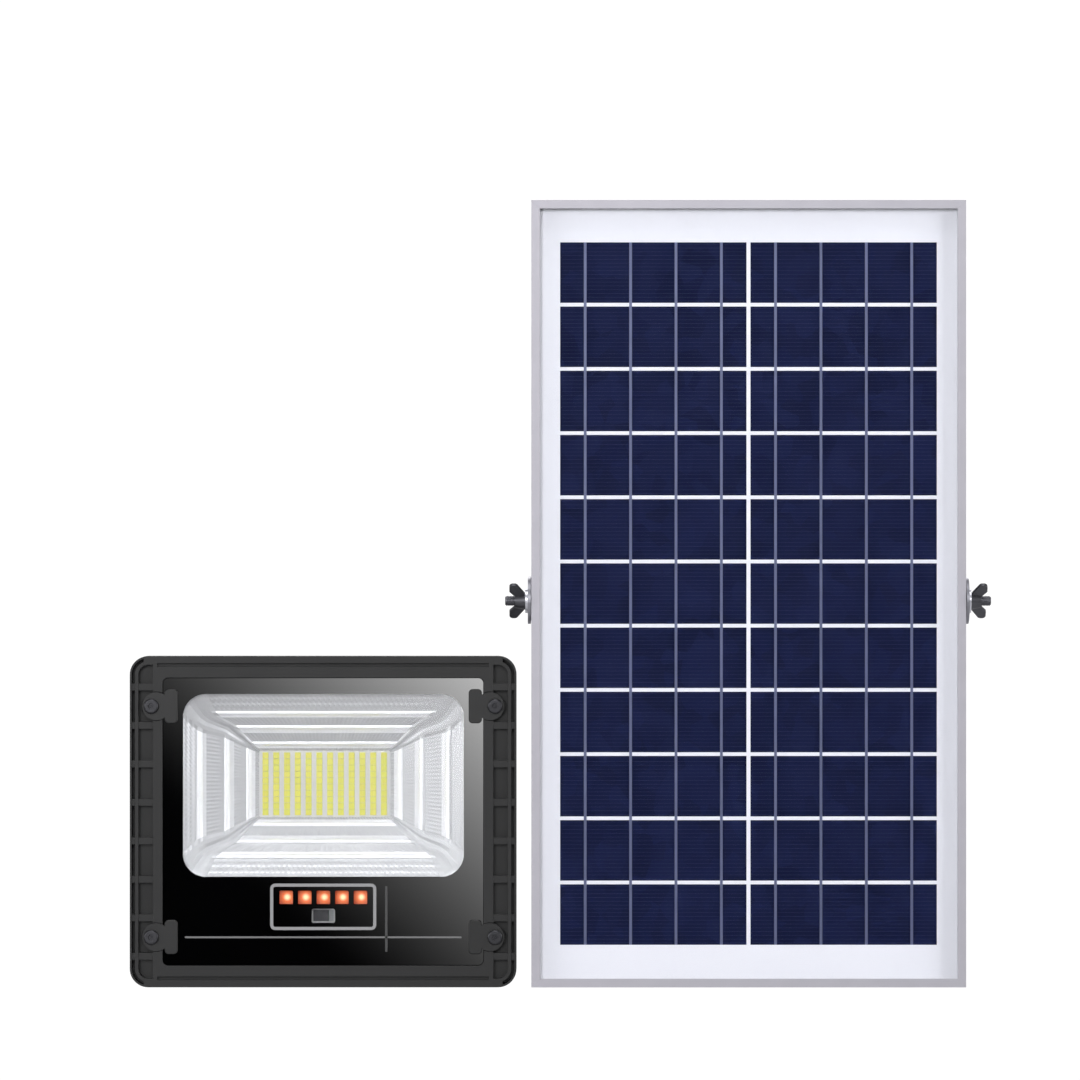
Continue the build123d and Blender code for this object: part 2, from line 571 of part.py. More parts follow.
def make_housing():
    """Die-cast housing: broad rim, light chamber, fins, battery bay and pivot bosses."""
    body = block(LAMP_WIDTH, LAMP_HEIGHT, FRONT_Y, RIM_BACK_Y, corner=LAMP_CORNER)
    body = fillet(body.edges().group_by(Axis.Y)[-1], RIM_ROUND)
    body += block(TUB_WIDTH, TUB_HEIGHT, RIM_BACK_Y - 2 * MERGE, SEAT_BACK_Y,
                  corner=TUB_CORNER)
    body += block(TUB_WIDTH, COVER_HEIGHT, RIM_BACK_Y - 2 * MERGE, BAY_RIM_Y, 0, BAY_Z, TUB_CORNER)
    for fin in cooling_fins():
        body += fin
    for boss in both_sides(pivot_boss()):
        body += boss
    body -= block(GLASS_WIDTH, GLASS_HEIGHT, FRONT_Y, LEDGE_Y, corner=GLASS_CORNER)
    chamber_height = CAVITY_HEIGHT / 2 - CHAMBER_BOTTOM
    body -= block(CAVITY_WIDTH, chamber_height, LEDGE_Y, SEAT_Y, 0,
                  CHAMBER_BOTTOM + chamber_height / 2, CHAMBER_CORNER)
    body -= block(CAVITY_WIDTH, BAY_HEIGHT, LEDGE_Y, BAY_RIM_Y, 0, BAY_Z, BAY_CORNER)
    for x, z in COVER_SCREWS:
        body += rod("front", COVER_POST, COVER_POST_LENGTH, x, BAY_RIM_Y, z)
    holder_back = HOLDER_Y + HOLDER_FLOOR
    ledge = block(HOLDER_PAD_OUTER - HOLDER_PAD_INNER, HOLDER_PAD_HEIGHT, holder_back,
                  holder_back + HOLDER_PAD_DEPTH, (HOLDER_PAD_INNER + HOLDER_PAD_OUTER) / 2, BAY_Z)
    for pad in both_sides(ledge):
        body += pad
    for cutter in side_pockets():
        for side in both_sides(cutter):
            body -= side
    groove_x = 2 * (POCKET_INNER_X - BAR_GROOVE_END)
    for sign in (-1, 1):
        groove_z = sign * (LAMP_HEIGHT / 2 - BAR_GROOVE_INSET - BAR_GROOVE / 2)
        body -= block(groove_x, BAR_GROOVE, FRONT_Y, FRONT_Y + BAR_GROOVE_DEPTH, 0, groove_z)
        post = rod("front", CLIP_POST, POCKET_DEPTH, CLIP_X, FRONT_Y + POCKET_DEPTH + MERGE / 2,
                   sign * CLIP_Z)
        for side in both_sides(post):
            body += side
        clip_room = across(clip_outline(SLIP_GAP), FRONT_Y, GLASS_Y, CLIP_X, sign * CLIP_Z)
        for side in both_sides(clip_room):
            body -= side
    for x, z in CLIP_SCREWS:
        body -= rod("back", CLIP_SCREW + SCREW_GAP, CLIP_SCREW_HOLE, x, FRONT_Y, z)
    for x, z in LED_SCREWS:
        body -= rod("back", SMALL_SCREW + SCREW_GAP, LED_SCREW_GRIP + HOLE_SPARE, x, SEAT_Y, z)
    for x, z in COVER_SCREWS:
        body -= rod("front", SMALL_SCREW + SCREW_GAP, COVER_SCREW_HOLE, x, BAY_RIM_Y, z)
    for sign in (-1, 1):
        body -= rod("back", SMALL_SCREW + SCREW_GAP, HOLDER_SCREW_HOLE, sign * HOLDER_LUG_X,
                    holder_back, BAY_Z)
    hole = rod("left", PIVOT_BOLT_RADIUS + SCREW_GAP, PIVOT_BOLT_GRIP + MERGE / 2,
               ARM_INNER_X, -LAMP_REACH, 0)
    for side in both_sides(hole):
        body -= side
    body -= rod("down", WIRE_HOLE, LAMP_WALL + MERGE, WIRE_HOLE_X, LED_BOARD_Y - WIRE_HOLE,
                CHAMBER_BOTTOM + MERGE / 2)
    return body


def make_glass_gasket():
    """Flat rubber ring between the glass and its ledge."""
    outer = block(GLASS_WIDTH - 2 * SLIP_GAP, GLASS_HEIGHT - 2 * SLIP_GAP, GLASS_BACK_Y, LEDGE_Y,
                  corner=GLASS_CORNER - SLIP_GAP)
    return outer - block(CAVITY_WIDTH, CAVITY_HEIGHT, GLASS_BACK_Y, LEDGE_Y,
                         corner=CHAMBER_CORNER)


def make_lamp_glass():
    """Tempered front glass."""
    glass = block(GLASS_WIDTH - 2 * SLIP_GAP, GLASS_HEIGHT - 2 * SLIP_GAP, GLASS_Y, GLASS_BACK_Y,
                  corner=GLASS_CORNER - SLIP_GAP)
    return chamfer(glass.edges().group_by(Axis.Y)[0], EDGE_BREAK)


def bowl_stage(top, bottom, top_y, bottom_y):
    """One sloping stage of the reflector between two rounded outlines (width, height, corner)."""
    depth = bottom_y - top_y
    faces = [RectangleRounded(*bottom), Pos(0, 0, depth) * RectangleRounded(*top)]
    return toward("front", 0, bottom_y, REFLECTOR_Z) * loft(faces, ruled=True)


def make_reflector():
    """Thin stepped bowl from the light window down to the light board."""
    stages = REFLECTOR_STAGES
    treads = (stages - 1) * REFLECTOR_TREAD
    width, height = WINDOW_WIDTH + 2 * REFLECTOR_OVERLAP, WINDOW_HEIGHT + 2 * REFLECTOR_OVERLAP
    run_x = (width - LIGHT_OPENING_WIDTH) / 2 - treads
    run_z = (height - LIGHT_OPENING_HEIGHT) / 2 - treads
    sheet = REFLECTOR_SHEET
    plate_height = 2 * (CAVITY_HEIGHT / 2 - SLIP_GAP - REFLECTOR_Z)
    bowl = block(CAVITY_WIDTH - 2 * SLIP_GAP, plate_height, REFLECTOR_Y, REFLECTOR_Y + sheet, 0,
                 REFLECTOR_Z, WINDOW_CORNER)
    hollow = []
    for stage in range(stages):
        top_y = REFLECTOR_Y + stage * REFLECTOR_DEPTH / stages
        bottom_y = REFLECTOR_Y + (stage + 1) * REFLECTOR_DEPTH / stages
        low_width, low_height = width - 2 * run_x / stages, height - 2 * run_z / stages
        corner = WINDOW_CORNER - STAGE_CORNER_STEP * stage
        inside = [(width, height, corner), (low_width, low_height, corner - SLOPE_CORNER_STEP)]
        outside = [(w + 2 * sheet, h + 2 * sheet, c + sheet) for w, h, c in inside]
        bowl += bowl_stage(*outside, top_y, bottom_y)
        hollow.append(bowl_stage(*inside, top_y, bottom_y))
        if stage < stages - 1:
            bowl += block(low_width + 2 * sheet, low_height + 2 * sheet, bottom_y - TREAD_MERGE,
                          bottom_y + sheet, 0, REFLECTOR_Z, corner - SLOPE_CORNER_STEP + sheet)
        width, height = low_width - 2 * REFLECTOR_TREAD, low_height - 2 * REFLECTOR_TREAD
    for space in hollow:
        bowl -= space
    return bowl


def make_led_board():
    """Metal-backed board that carries the light emitting diodes."""
    board = block(LED_BOARD_WIDTH, LED_BOARD_HEIGHT, LED_BOARD_Y, SEAT_Y, 0, REFLECTOR_Z,
                  BOARD_CORNER)
    for x, z in LED_SCREWS:
        board -= rod("back", SMALL_SCREW + SCREW_ROOM, BOARD_THICKNESS, x, LED_BOARD_Y, z)
    return board


def make_leds():
    """Grid of light emitting diodes, each a separate package."""
    package = Box(LED_WIDTH, LED_THICKNESS, LED_HEIGHT)
    y = LED_BOARD_Y - LED_THICKNESS / 2
    columns = [(i - (LED_COLUMNS - 1) / 2) * LED_COLUMN_PITCH for i in range(LED_COLUMNS)]
    rows = [REFLECTOR_Z + (j - (LED_ROWS - 1) / 2) * LED_ROW_PITCH for j in range(LED_ROWS)]
    return [Pos(x, y, z) * package for x in columns for z in rows]


def make_status_pieces():
    """Board, lamps, dark holder and receiver of the status display."""
    board = block(STATUS_BOARD_WIDTH, STATUS_BOARD_HEIGHT, STATUS_BOARD_Y,
                  STATUS_BOARD_Y + BOARD_THICKNESS, 0, STATUS_BOARD_Z, STATUS_CORNER)
    light = block(STATUS_SIZE, STATUS_SIZE, STATUS_LED_Y, STATUS_BOARD_Y, 0, STATUS_Z)
    places = [(i - (STATUS_COUNT - 1) / 2) * STATUS_PITCH for i in range(STATUS_COUNT)]
    lights = [Pos(x, 0, 0) * light for x in places]
    receiver = block(RECEIVER_WIDTH, RECEIVER_HEIGHT, STATUS_LED_Y, STATUS_BOARD_Y, 0,
                     RECEIVER_Z, STATUS_CORNER)
    holder = block(STATUS_BOARD_WIDTH - 2 * STATUS_HOLDER_INSET,
                   STATUS_BOARD_HEIGHT - 2 * STATUS_HOLDER_INSET, REFLECTOR_Y, STATUS_BOARD_Y, 0,
                   STATUS_BOARD_Z, STATUS_HOLDER_CORNER)
    for x in places:
        holder -= block(STATUS_SIZE + LENS_ROOM, STATUS_SIZE + LENS_ROOM, REFLECTOR_Y,
                        STATUS_BOARD_Y, x, STATUS_Z)
    holder -= block(RECEIVER_WIDTH + LENS_ROOM, RECEIVER_HEIGHT + LENS_ROOM, REFLECTOR_Y,
                    STATUS_BOARD_Y, 0, RECEIVER_Z, STATUS_CORNER)
    return {"status_board": board, "status_lights": lights, "light_receiver": receiver,
            "status_holder": holder}


def make_control_pieces():
    """Charge controller board with its components, spacers and screws."""
    board = block(CONTROL_BOARD_WIDTH, CONTROL_BOARD_HEIGHT, CONTROL_Y, CONTROL_BACK_Y, 0, BAY_Z,
                  BOARD_CORNER)
    for x, z in CONTROL_SCREWS:
        board -= rod("back", BOARD_SCREW + SCREW_ROOM, BOARD_THICKNESS, x, CONTROL_Y, z)
    coil = rod("front", COIL_RADIUS, COIL_HEIGHT, COIL_X, CONTROL_Y, BAY_Z)
    coil += rod("front", COIL_RADIUS / 2, 1.1 * COIL_HEIGHT, COIL_X, CONTROL_Y, BAY_Z)
    chip = block(CHIP_SIZE, CHIP_SIZE, CONTROL_Y - CHIP_HEIGHT, CONTROL_Y, CHIP_X, BAY_Z)
    capacitors = [rod("front", CAPACITOR_RADIUS, CAPACITOR_HEIGHT, x, CONTROL_Y,
                      BAY_Z + CAPACITOR_Z) for x in CAPACITOR_X]
    terminals = [block(TERMINAL_WIDTH, TERMINAL_HEIGHT, CONTROL_Y - TERMINAL_DEPTH, CONTROL_Y, x,
                       BAY_Z + TERMINAL_Z) for x in TERMINAL_X]
    length = CONTROL_Y - STATUS_BOARD_Y - BOARD_THICKNESS
    spacer = toward("front", SPACER_X, CONTROL_Y, STATUS_BOARD_Z)
    spacers = both_sides(spacer * extrude(hexagon(SPACER_FLATS), length))
    screw = round_screw(BOARD_SCREW, BOARD_THICKNESS + CONTROL_SCREW_GRIP, BOARD_SCREW_HEAD,
                        BOARD_SCREW_HEAD_HEIGHT, BOARD_SCREW_FLATS)
    return {"controller_board": board, "controller_components": [coil, chip] + capacitors + terminals,
            "board_spacers": spacers,
            "controller_screws": ring_of(CONTROL_SCREWS, screw, "front", CONTROL_Y)}


def make_battery_pieces():
    """Two cells end to end, their holder, contacts and foam pads."""
    bay_width = CAVITY_WIDTH - 2 * SLIP_GAP
    holder = block(bay_width, BAY_HEIGHT - 2 * SLIP_GAP, HOLDER_Y, HOLDER_Y + HOLDER_FLOOR, 0,
                   BAY_Z, BOARD_CORNER)
    saddle_x = CELL_LENGTH + SADDLE_OUT
    holder += block(2 * saddle_x, BAY_HEIGHT - 2 * SLIP_GAP, HOLDER_Y + HOLDER_FLOOR - MERGE,
                    HOLDER_Y + HOLDER_FLOOR + HOLDER_SADDLE, 0, BAY_Z)
    trough_x = CELL_LENGTH + CONTACT_SHEET + SCREW_ROOM
    holder -= rod("right", CELL_RADIUS + SLIP_GAP, 2 * trough_x, -trough_x, CELL_Y, BAY_Z)
    for x, z in CONTROL_SCREWS:
        holder += rod("back", CONTROL_POST, CONTROL_BACK_GAP, x, CONTROL_BACK_Y, z)
        holder -= rod("back", BOARD_SCREW + SCREW_GAP, CONTROL_BACK_GAP + HOLE_SPARE / 2, x,
                      CONTROL_BACK_Y, z)
    lugs = [(-HOLDER_LUG_X, BAY_Z), (HOLDER_LUG_X, BAY_Z)]
    for x, z in lugs:
        holder -= rod("back", SMALL_SCREW + SCREW_ROOM, HOLDER_FLOOR, x, HOLDER_Y, z)
    cell_end = CELL_LENGTH - CELL_POLE - CELL_SPLIT
    cell = rod("right", CELL_RADIUS, cell_end - CELL_SPLIT, CELL_SPLIT, CELL_Y, BAY_Z)
    cell += rod("right", CELL_BUTTON, CELL_POLE, cell_end, CELL_Y, BAY_Z)
    contact = rod("right", CONTACT_RADIUS, CONTACT_SHEET, CELL_LENGTH - CELL_SPLIT, CELL_Y, BAY_Z)
    foam = block(FOAM_WIDTH, BAY_HEIGHT - 2 * FOAM_INSET, CELL_Y + CELL_RADIUS + FOAM_GAP, COVER_Y,
                 FOAM_X, BAY_Z)
    screw = round_screw(SMALL_SCREW, HOLDER_FLOOR + HOLDER_SCREW_GRIP, BOARD_HEAD,
                        SMALL_HEAD_HEIGHT, BOARD_HEAD_FLATS)
    return {"battery_holder": holder, "battery_cells": both_sides(cell),
            "battery_contacts": both_sides(contact), "battery_pads": both_sides(foam),
            "battery_holder_screws": ring_of(lugs, screw, "front", HOLDER_Y)}


def make_battery_cover():
    """Rear cover of the battery bay, with holes for the gland, button, vent and screws."""
    cover = block(TUB_WIDTH, COVER_HEIGHT, COVER_Y, COVER_BACK_Y, 0, BAY_Z, TUB_CORNER)
    cover = fillet(cover.edges().group_by(Axis.Y)[-1], COVER_ROUND)
    cover -= rod("back", GLAND_THREAD + SCREW_GAP, COVER_THICKNESS, 0, COVER_Y, BAY_Z)
    cover -= rod("back", BEZEL_RADIUS + SCREW_GAP, COVER_THICKNESS, BUTTON_X, COVER_Y, BAY_Z)
    cover -= rod("back", VENT_RADIUS + SCREW_GAP, COVER_THICKNESS, VENT_X, COVER_Y, BAY_Z)
    for x, z in COVER_SCREWS:
        cover -= rod("back", SMALL_SCREW + SCREW_ROOM, COVER_THICKNESS, x, COVER_Y, z)
    return cover


def make_cover_gasket():
    """Flat rubber ring under the battery cover."""
    outer = block(TUB_WIDTH - 2 * SLIP_GAP, COVER_HEIGHT - 2 * SLIP_GAP, BAY_RIM_Y, COVER_Y, 0,
                  BAY_Z, TUB_CORNER - SLIP_GAP)
    return outer - block(CAVITY_WIDTH, BAY_HEIGHT, BAY_RIM_Y, COVER_Y, 0, BAY_Z, BAY_CORNER)


def make_button_pieces():
    """Push button on the rear cover: bezel, sliding cap and the switch cup behind it."""
    x, z = BUTTON_X, BAY_Z
    barrel_end = COVER_Y - BARREL_PAST_COVER
    bezel_top = COVER_BACK_Y + BEZEL_HEIGHT
    bezel = rod("back", BEZEL_RIM, BEZEL_HEIGHT, x, COVER_BACK_Y, z)
    bezel = fillet(bezel.edges().group_by(Axis.Y)[-1], BEZEL_ROUND)
    bezel += rod("front", BEZEL_RADIUS, COVER_BACK_Y - barrel_end, x, COVER_BACK_Y, z)
    bezel -= rod("front", CAP_RADIUS + RUN_GAP, bezel_top - barrel_end, x, bezel_top, z)
    cap_top = bezel_top + CAP_PROUD
    flange_y = barrel_end - CAP_REST_GAP
    cap = rod("front", CAP_RADIUS, cap_top - flange_y, x, cap_top, z)
    cap = fillet(cap.edges().group_by(Axis.Y)[-1], COVER_ROUND)
    cap += rod("front", CAP_FLANGE, CAP_FLANGE_HEIGHT, x, flange_y, z)
    cap_room = CAP_FLANGE_HEIGHT + CAP_REST_GAP + CAP_TRAVEL
    cup_depth = cap_room + SWITCH_ROOM
    cup_floor = cup_depth - SWITCH_FLOOR
    cup = rod("front", BEZEL_RADIUS + SWITCH_WALL, cup_depth, x, barrel_end, z)
    cup -= rod("front", CAP_FLANGE + SLIP_GAP, cup_floor, x, barrel_end, z)
    stem_length = cup_floor - cap_room - CAP_REST_GAP
    cup += rod("back", STEM_RADIUS, stem_length, x, barrel_end - cup_floor, z)
    return {"button_bezel": bezel, "power_button": cap, "switch_body": cup}


def make_vent_plug():
    """Screw-in breather plug on the rear cover."""
    head = toward("back", VENT_X, COVER_BACK_Y, BAY_Z) * extrude(hexagon(VENT_FLATS), VENT_HEAD)
    length = COVER_THICKNESS + VENT_INSIDE
    plug = head + rod("front", VENT_RADIUS, length, VENT_X, COVER_BACK_Y, BAY_Z)
    return plug - rod("front", VENT_BORE, VENT_HEAD + length, VENT_X, COVER_BACK_Y + VENT_HEAD,
                      BAY_Z)


def make_gland(wall):
    """Cable gland about a wall: body, locknut, seal and domed nut, +Z pointing outwards."""
    inner_end = -(wall + GLAND_LOCKNUT + GLAND_THREAD_SPARE)
    body = Pos(0, 0, inner_end) * Cylinder(GLAND_THREAD, -inner_end, align=BASE)
    body += extrude(hexagon(GLAND_HEX), GLAND_COLLAR)
    body -= Pos(0, 0, inner_end) * Cylinder(GLAND_BORE, GLAND_COLLAR - inner_end, align=BASE)
    thread_room = Cylinder(GLAND_THREAD + SCREW_GAP, GLAND_LOCKNUT, align=BASE)
    locknut = extrude(hexagon(GLAND_HEX), GLAND_LOCKNUT) - thread_room
    locknut = Pos(0, 0, -wall - GLAND_LOCKNUT) * locknut
    seal_radius = GLAND_SEAL_BORE + GLAND_SEAL_WALL
    seal_length = GLAND_DOME - GLAND_SEAL_SHORT
    seal = Cylinder(seal_radius, seal_length, align=BASE)
    seal = Pos(0, 0, GLAND_COLLAR) * (seal - Cylinder(GLAND_SEAL_BORE, seal_length, align=BASE))
    hex_length = GLAND_DOME * GLAND_NUT_SHARE
    dome = extrude(hexagon(GLAND_HEX - GLAND_NUT_STEP), hex_length)
    dome += Pos(0, 0, hex_length) * Cone(GLAND_HEX / 2 - GLAND_TAPER, seal_radius + GLAND_TAPER,
                                         GLAND_DOME - hex_length, align=BASE)
    dome -= Cylinder(seal_radius + SCREW_GAP, seal_length, align=BASE)
    dome -= Cylinder(GLAND_BORE, GLAND_DOME, align=BASE)
    return {"body": body, "locknut": locknut, "seal": seal, "nut": Pos(0, 0, GLAND_COLLAR) * dome}


def save_gland(name, wall, place):
    """Write the four nodes of one gland at its place."""
    for part, solid in make_gland(wall).items():
        save(f"{name}_{part}", place * solid)


def make_u_bracket(gap, strap, reach, pin_radius, spacing, slot_length, slot_radius):
    """Bent strap bracket about x = z = 0: wall face on y = 0, rounded arms out to the pivot."""
    width = gap + 2 * strap
    side_view = Rectangle(width, reach) - Pos(0, -strap) * Rectangle(gap, reach)
    side_view = Pos(0, -reach / 2) * side_view
    strip = extrude(side_view, STRAP_WIDTH / 2, both=True)
    outer_bends = strip.edges().filter_by(Axis.Z).group_by(Axis.Y)[-1]
    strip = fillet(outer_bends, BEND_RADIUS)
    inner_bends = strip.edges().filter_by(Axis.Z).filter_by(
        lambda edge: abs(edge.center().Y + strap) < SCREW_GAP)
    strip = fillet(inner_bends, BEND_RADIUS - strap)
    ends = rod("right", STRAP_WIDTH / 2, width, -width / 2, -reach, 0)
    strip += ends - Box(gap, 4 * reach, 2 * STRAP_WIDTH)
    strip -= rod("right", pin_radius + RUN_GAP, width, -width / 2, -reach, 0)
    for sign in (-1, 1):
        strip -= across(SlotOverall(slot_length, 2 * slot_radius), -strap, 0, sign * spacing / 2, 0)
    return strip


def make_lamp():
    """Every node of the lamp and its bracket."""
    save("lamp_housing", make_housing())
    save("glass_gasket", make_glass_gasket())
    save("lamp_glass", make_lamp_glass())
    save("glass_clips", make_clips())
    clip_screw = round_screw(CLIP_SCREW, CLIP_THICKNESS + CLIP_SCREW_LENGTH, CLIP_HEAD,
                             CLIP_HEAD_HEIGHT, CLIP_FLATS)
    save("clip_screws", ring_of(CLIP_SCREWS, clip_screw, "front", FRONT_Y))
    save("reflector", make_reflector())
    save("led_board", make_led_board())
    save("led_packages", make_leds())
    led_screw = round_screw(SMALL_SCREW, BOARD_THICKNESS + LED_SCREW_GRIP, BOARD_HEAD,
                            LED_HEAD_HEIGHT, BOARD_HEAD_FLATS)
    save("led_board_screws", ring_of(LED_SCREWS, led_screw, "front", LED_BOARD_Y))
    for pieces in (make_status_pieces(), make_control_pieces(), make_battery_pieces(),
                   make_button_pieces()):
        for name, piece in pieces.items():
            save(name, piece)
    save("battery_cover", make_battery_cover())
    save("cover_gasket", make_cover_gasket())
    cover_screw = round_screw(SMALL_SCREW, COVER_THICKNESS + COVER_GASKET + COVER_SCREW_GRIP,
                              SMALL_HEAD, SMALL_HEAD_HEIGHT, SMALL_FLATS)
    save("cover_screws", ring_of(COVER_SCREWS, cover_screw, "back", COVER_BACK_Y))
    save("vent_plug", make_vent_plug())
    save_gland("lamp_gland", COVER_THICKNESS, toward("back", 0, COVER_BACK_Y, BAY_Z))
    save("lamp_bracket", make_u_bracket(2 * ARM_INNER_X, LAMP_STRAP, LAMP_REACH,
                                        PIVOT_BOLT_RADIUS, LAMP_SLOT_SPACING, LAMP_SLOT_LENGTH,
                                        LAMP_SLOT_RADIUS))
    bolt = hex_bolt(PIVOT_BOLT_RADIUS, PIVOT_WASHER + LAMP_STRAP + PIVOT_BOLT_GRIP,
                    PIVOT_BOLT_FLATS, PIVOT_BOLT_HEAD)
    bolt = toward("right", ARM_OUTER_X + PIVOT_WASHER, -LAMP_REACH, 0) * bolt
    save("lamp_pivot_bolts", both_sides(bolt))
    ring = washer("right", PIVOT_WASHER_RADIUS, PIVOT_BOLT_RADIUS + SCREW_ROOM, PIVOT_WASHER,
                  ARM_OUTER_X, -LAMP_REACH, 0)
    save("lamp_pivot_washers", both_sides(ring))


# Solar panel, drawn about x = z = 0 and then moved to its place -----------------------------------

PANEL_PLACE = Pos(PANEL_X, 0, PANEL_Z)
BOLT_Z = -PANEL_PIVOT_BELOW


def frame_section():
    """Outline of the frame section: x inwards from the outer side, y back from the front face."""
    wall = Pos(FRAME_SHEET / 2, PANEL_DEPTH / 2) * Rectangle(FRAME_SHEET, PANEL_DEPTH)
    parts = [(FRAME_LIP, 0, FRAME_SHEET), (LEDGE_REACH, FRAME_SHEET + SLOT_DEPTH, LEDGE_SHEET),
             (REAR_FLANGE, PANEL_DEPTH - FRAME_SHEET, FRAME_SHEET)]
    for reach, start, sheet in parts:
        wall += Pos(reach / 2, start + sheet / 2) * Rectangle(reach, sheet)
    return wall


def frame_rail(length):
    """Right-hand rail of the given length with both ends mitred, its outer side on x = 0."""
    rail = extrude(mirror(frame_section(), Plane.YZ), length / 2, both=True)
    rail = Pos(0, PANEL_FRONT_Y, 0) * rail
    half = length / 2
    keep = Polygon((0, -half), (0, half), (-MITRE, half - MITRE), (-MITRE, MITRE - half),
                   align=None)
    return rail & across(keep, PANEL_FRONT_Y - MERGE, PANEL_BACK_Y + MERGE)


def make_frame_rails():
    """Four mitred aluminium rails; the side rails carry the pivot bolt holes."""
    side = Pos(PANEL_WIDTH / 2, 0, 0) * frame_rail(PANEL_HEIGHT)
    side -= rod("left", WING_BOLT_RADIUS + SCREW_GAP, FRAME_SHEET + 2 * MERGE,
                PANEL_WIDTH / 2 + MERGE, -PANEL_REACH, BOLT_Z)
    end = Pos(0, 0, PANEL_HEIGHT / 2) * (Rot(0, -90, 0) * frame_rail(PANEL_WIDTH))
    return {"frame_side_rails": both_sides(side), "frame_end_rails": [end, mirror(end, Plane.XY)]}


def make_corner_keys():
    """Four angle keys that join the rails inside their rear channel."""
    front_y = FRAME_CAVITY_Y + CORNER_KEY_GAP
    back_y = PANEL_BACK_Y - FRAME_SHEET - CORNER_KEY_GAP
    inside_x = PANEL_WIDTH / 2 - FRAME_SHEET
    inside_z = PANEL_HEIGHT / 2 - FRAME_SHEET
    leg, width = CORNER_KEY_LEG, CORNER_KEY_WIDTH
    key = block(leg, width, front_y, back_y, inside_x - leg / 2, inside_z - width / 2)
    key += block(width, leg, front_y, back_y, inside_x - width / 2, inside_z - leg / 2)
    top = both_sides(key)
    return top + [mirror(piece, Plane.XY) for piece in top]


def make_panel_seal():
    """Rubber channel round the edge of the laminate."""
    reach = FRAME_LIP - FRAME_SHEET
    outer = block(PANEL_WIDTH - 2 * FRAME_SHEET, PANEL_HEIGHT - 2 * FRAME_SHEET, SLOT_Y,
                  FRAME_LEDGE_Y)
    inner = block(PANEL_WIDTH - 2 * FRAME_SHEET - 2 * reach,
                  PANEL_HEIGHT - 2 * FRAME_SHEET - 2 * reach, SLOT_Y, FRAME_LEDGE_Y)
    room = block(LAMINATE_WIDTH, LAMINATE_HEIGHT, PANEL_GLASS_Y, BACKSHEET_BACK_Y)
    return outer - inner - room


def cell_centres():
    """Centre (x, z) of every solar cell."""
    x_pitch = CELL_WIDTH + CELL_COLUMN_GAP
    z_pitch = CELL_HEIGHT + CELL_ROW_GAP
    columns = [(i - (CELL_COLUMNS - 1) / 2) * x_pitch for i in range(CELL_COLUMNS)]
    rows = [(j - (CELL_ROWS - 1) / 2) * z_pitch for j in range(CELL_ROWS)]
    return [(x, z) for x in columns for z in rows]


def ribbon_places():
    """X of every long ribbon."""
    columns = sorted({round(x, 6) for x, z in cell_centres()})
    steps = [(k - (RIBBONS_PER_CELL - 1) / 2) * RIBBON_PITCH for k in range(RIBBONS_PER_CELL)]
    return [x + step for x in columns for step in steps]


def make_laminate():
    """Glass, encapsulant, solar cells, their ribbons and the backsheet."""
    glass = block(LAMINATE_WIDTH, LAMINATE_HEIGHT, PANEL_GLASS_Y, ENCAPSULANT_Y)
    wafer_y = ENCAPSULANT_Y + RIBBON
    wafer = block(CELL_WIDTH, CELL_HEIGHT, wafer_y, wafer_y + WAFER)
    cells = [Pos(x, 0, z) * wafer for x, z in cell_centres()]
    field_height = PANEL_HEIGHT - 2 * CELL_END_MARGIN
    ribbons = [block(RIBBON_WIDTH, field_height, ENCAPSULANT_Y, wafer_y, x, 0)
               for x in ribbon_places()]
    layer = block(LAMINATE_WIDTH, LAMINATE_HEIGHT, ENCAPSULANT_Y, BACKSHEET_Y)
    for x, z in cell_centres():
        layer -= block(CELL_WIDTH, CELL_HEIGHT, ENCAPSULANT_Y, wafer_y + WAFER, x, z)
    for x in ribbon_places():
        layer -= block(RIBBON_WIDTH, field_height, ENCAPSULANT_Y, wafer_y, x, 0)
    backsheet = block(LAMINATE_WIDTH, LAMINATE_HEIGHT, BACKSHEET_Y, BACKSHEET_BACK_Y)
    return {"panel_glass": glass, "solar_cells": cells, "cell_ribbons": ribbons,
            "encapsulant": layer, "backsheet": backsheet}


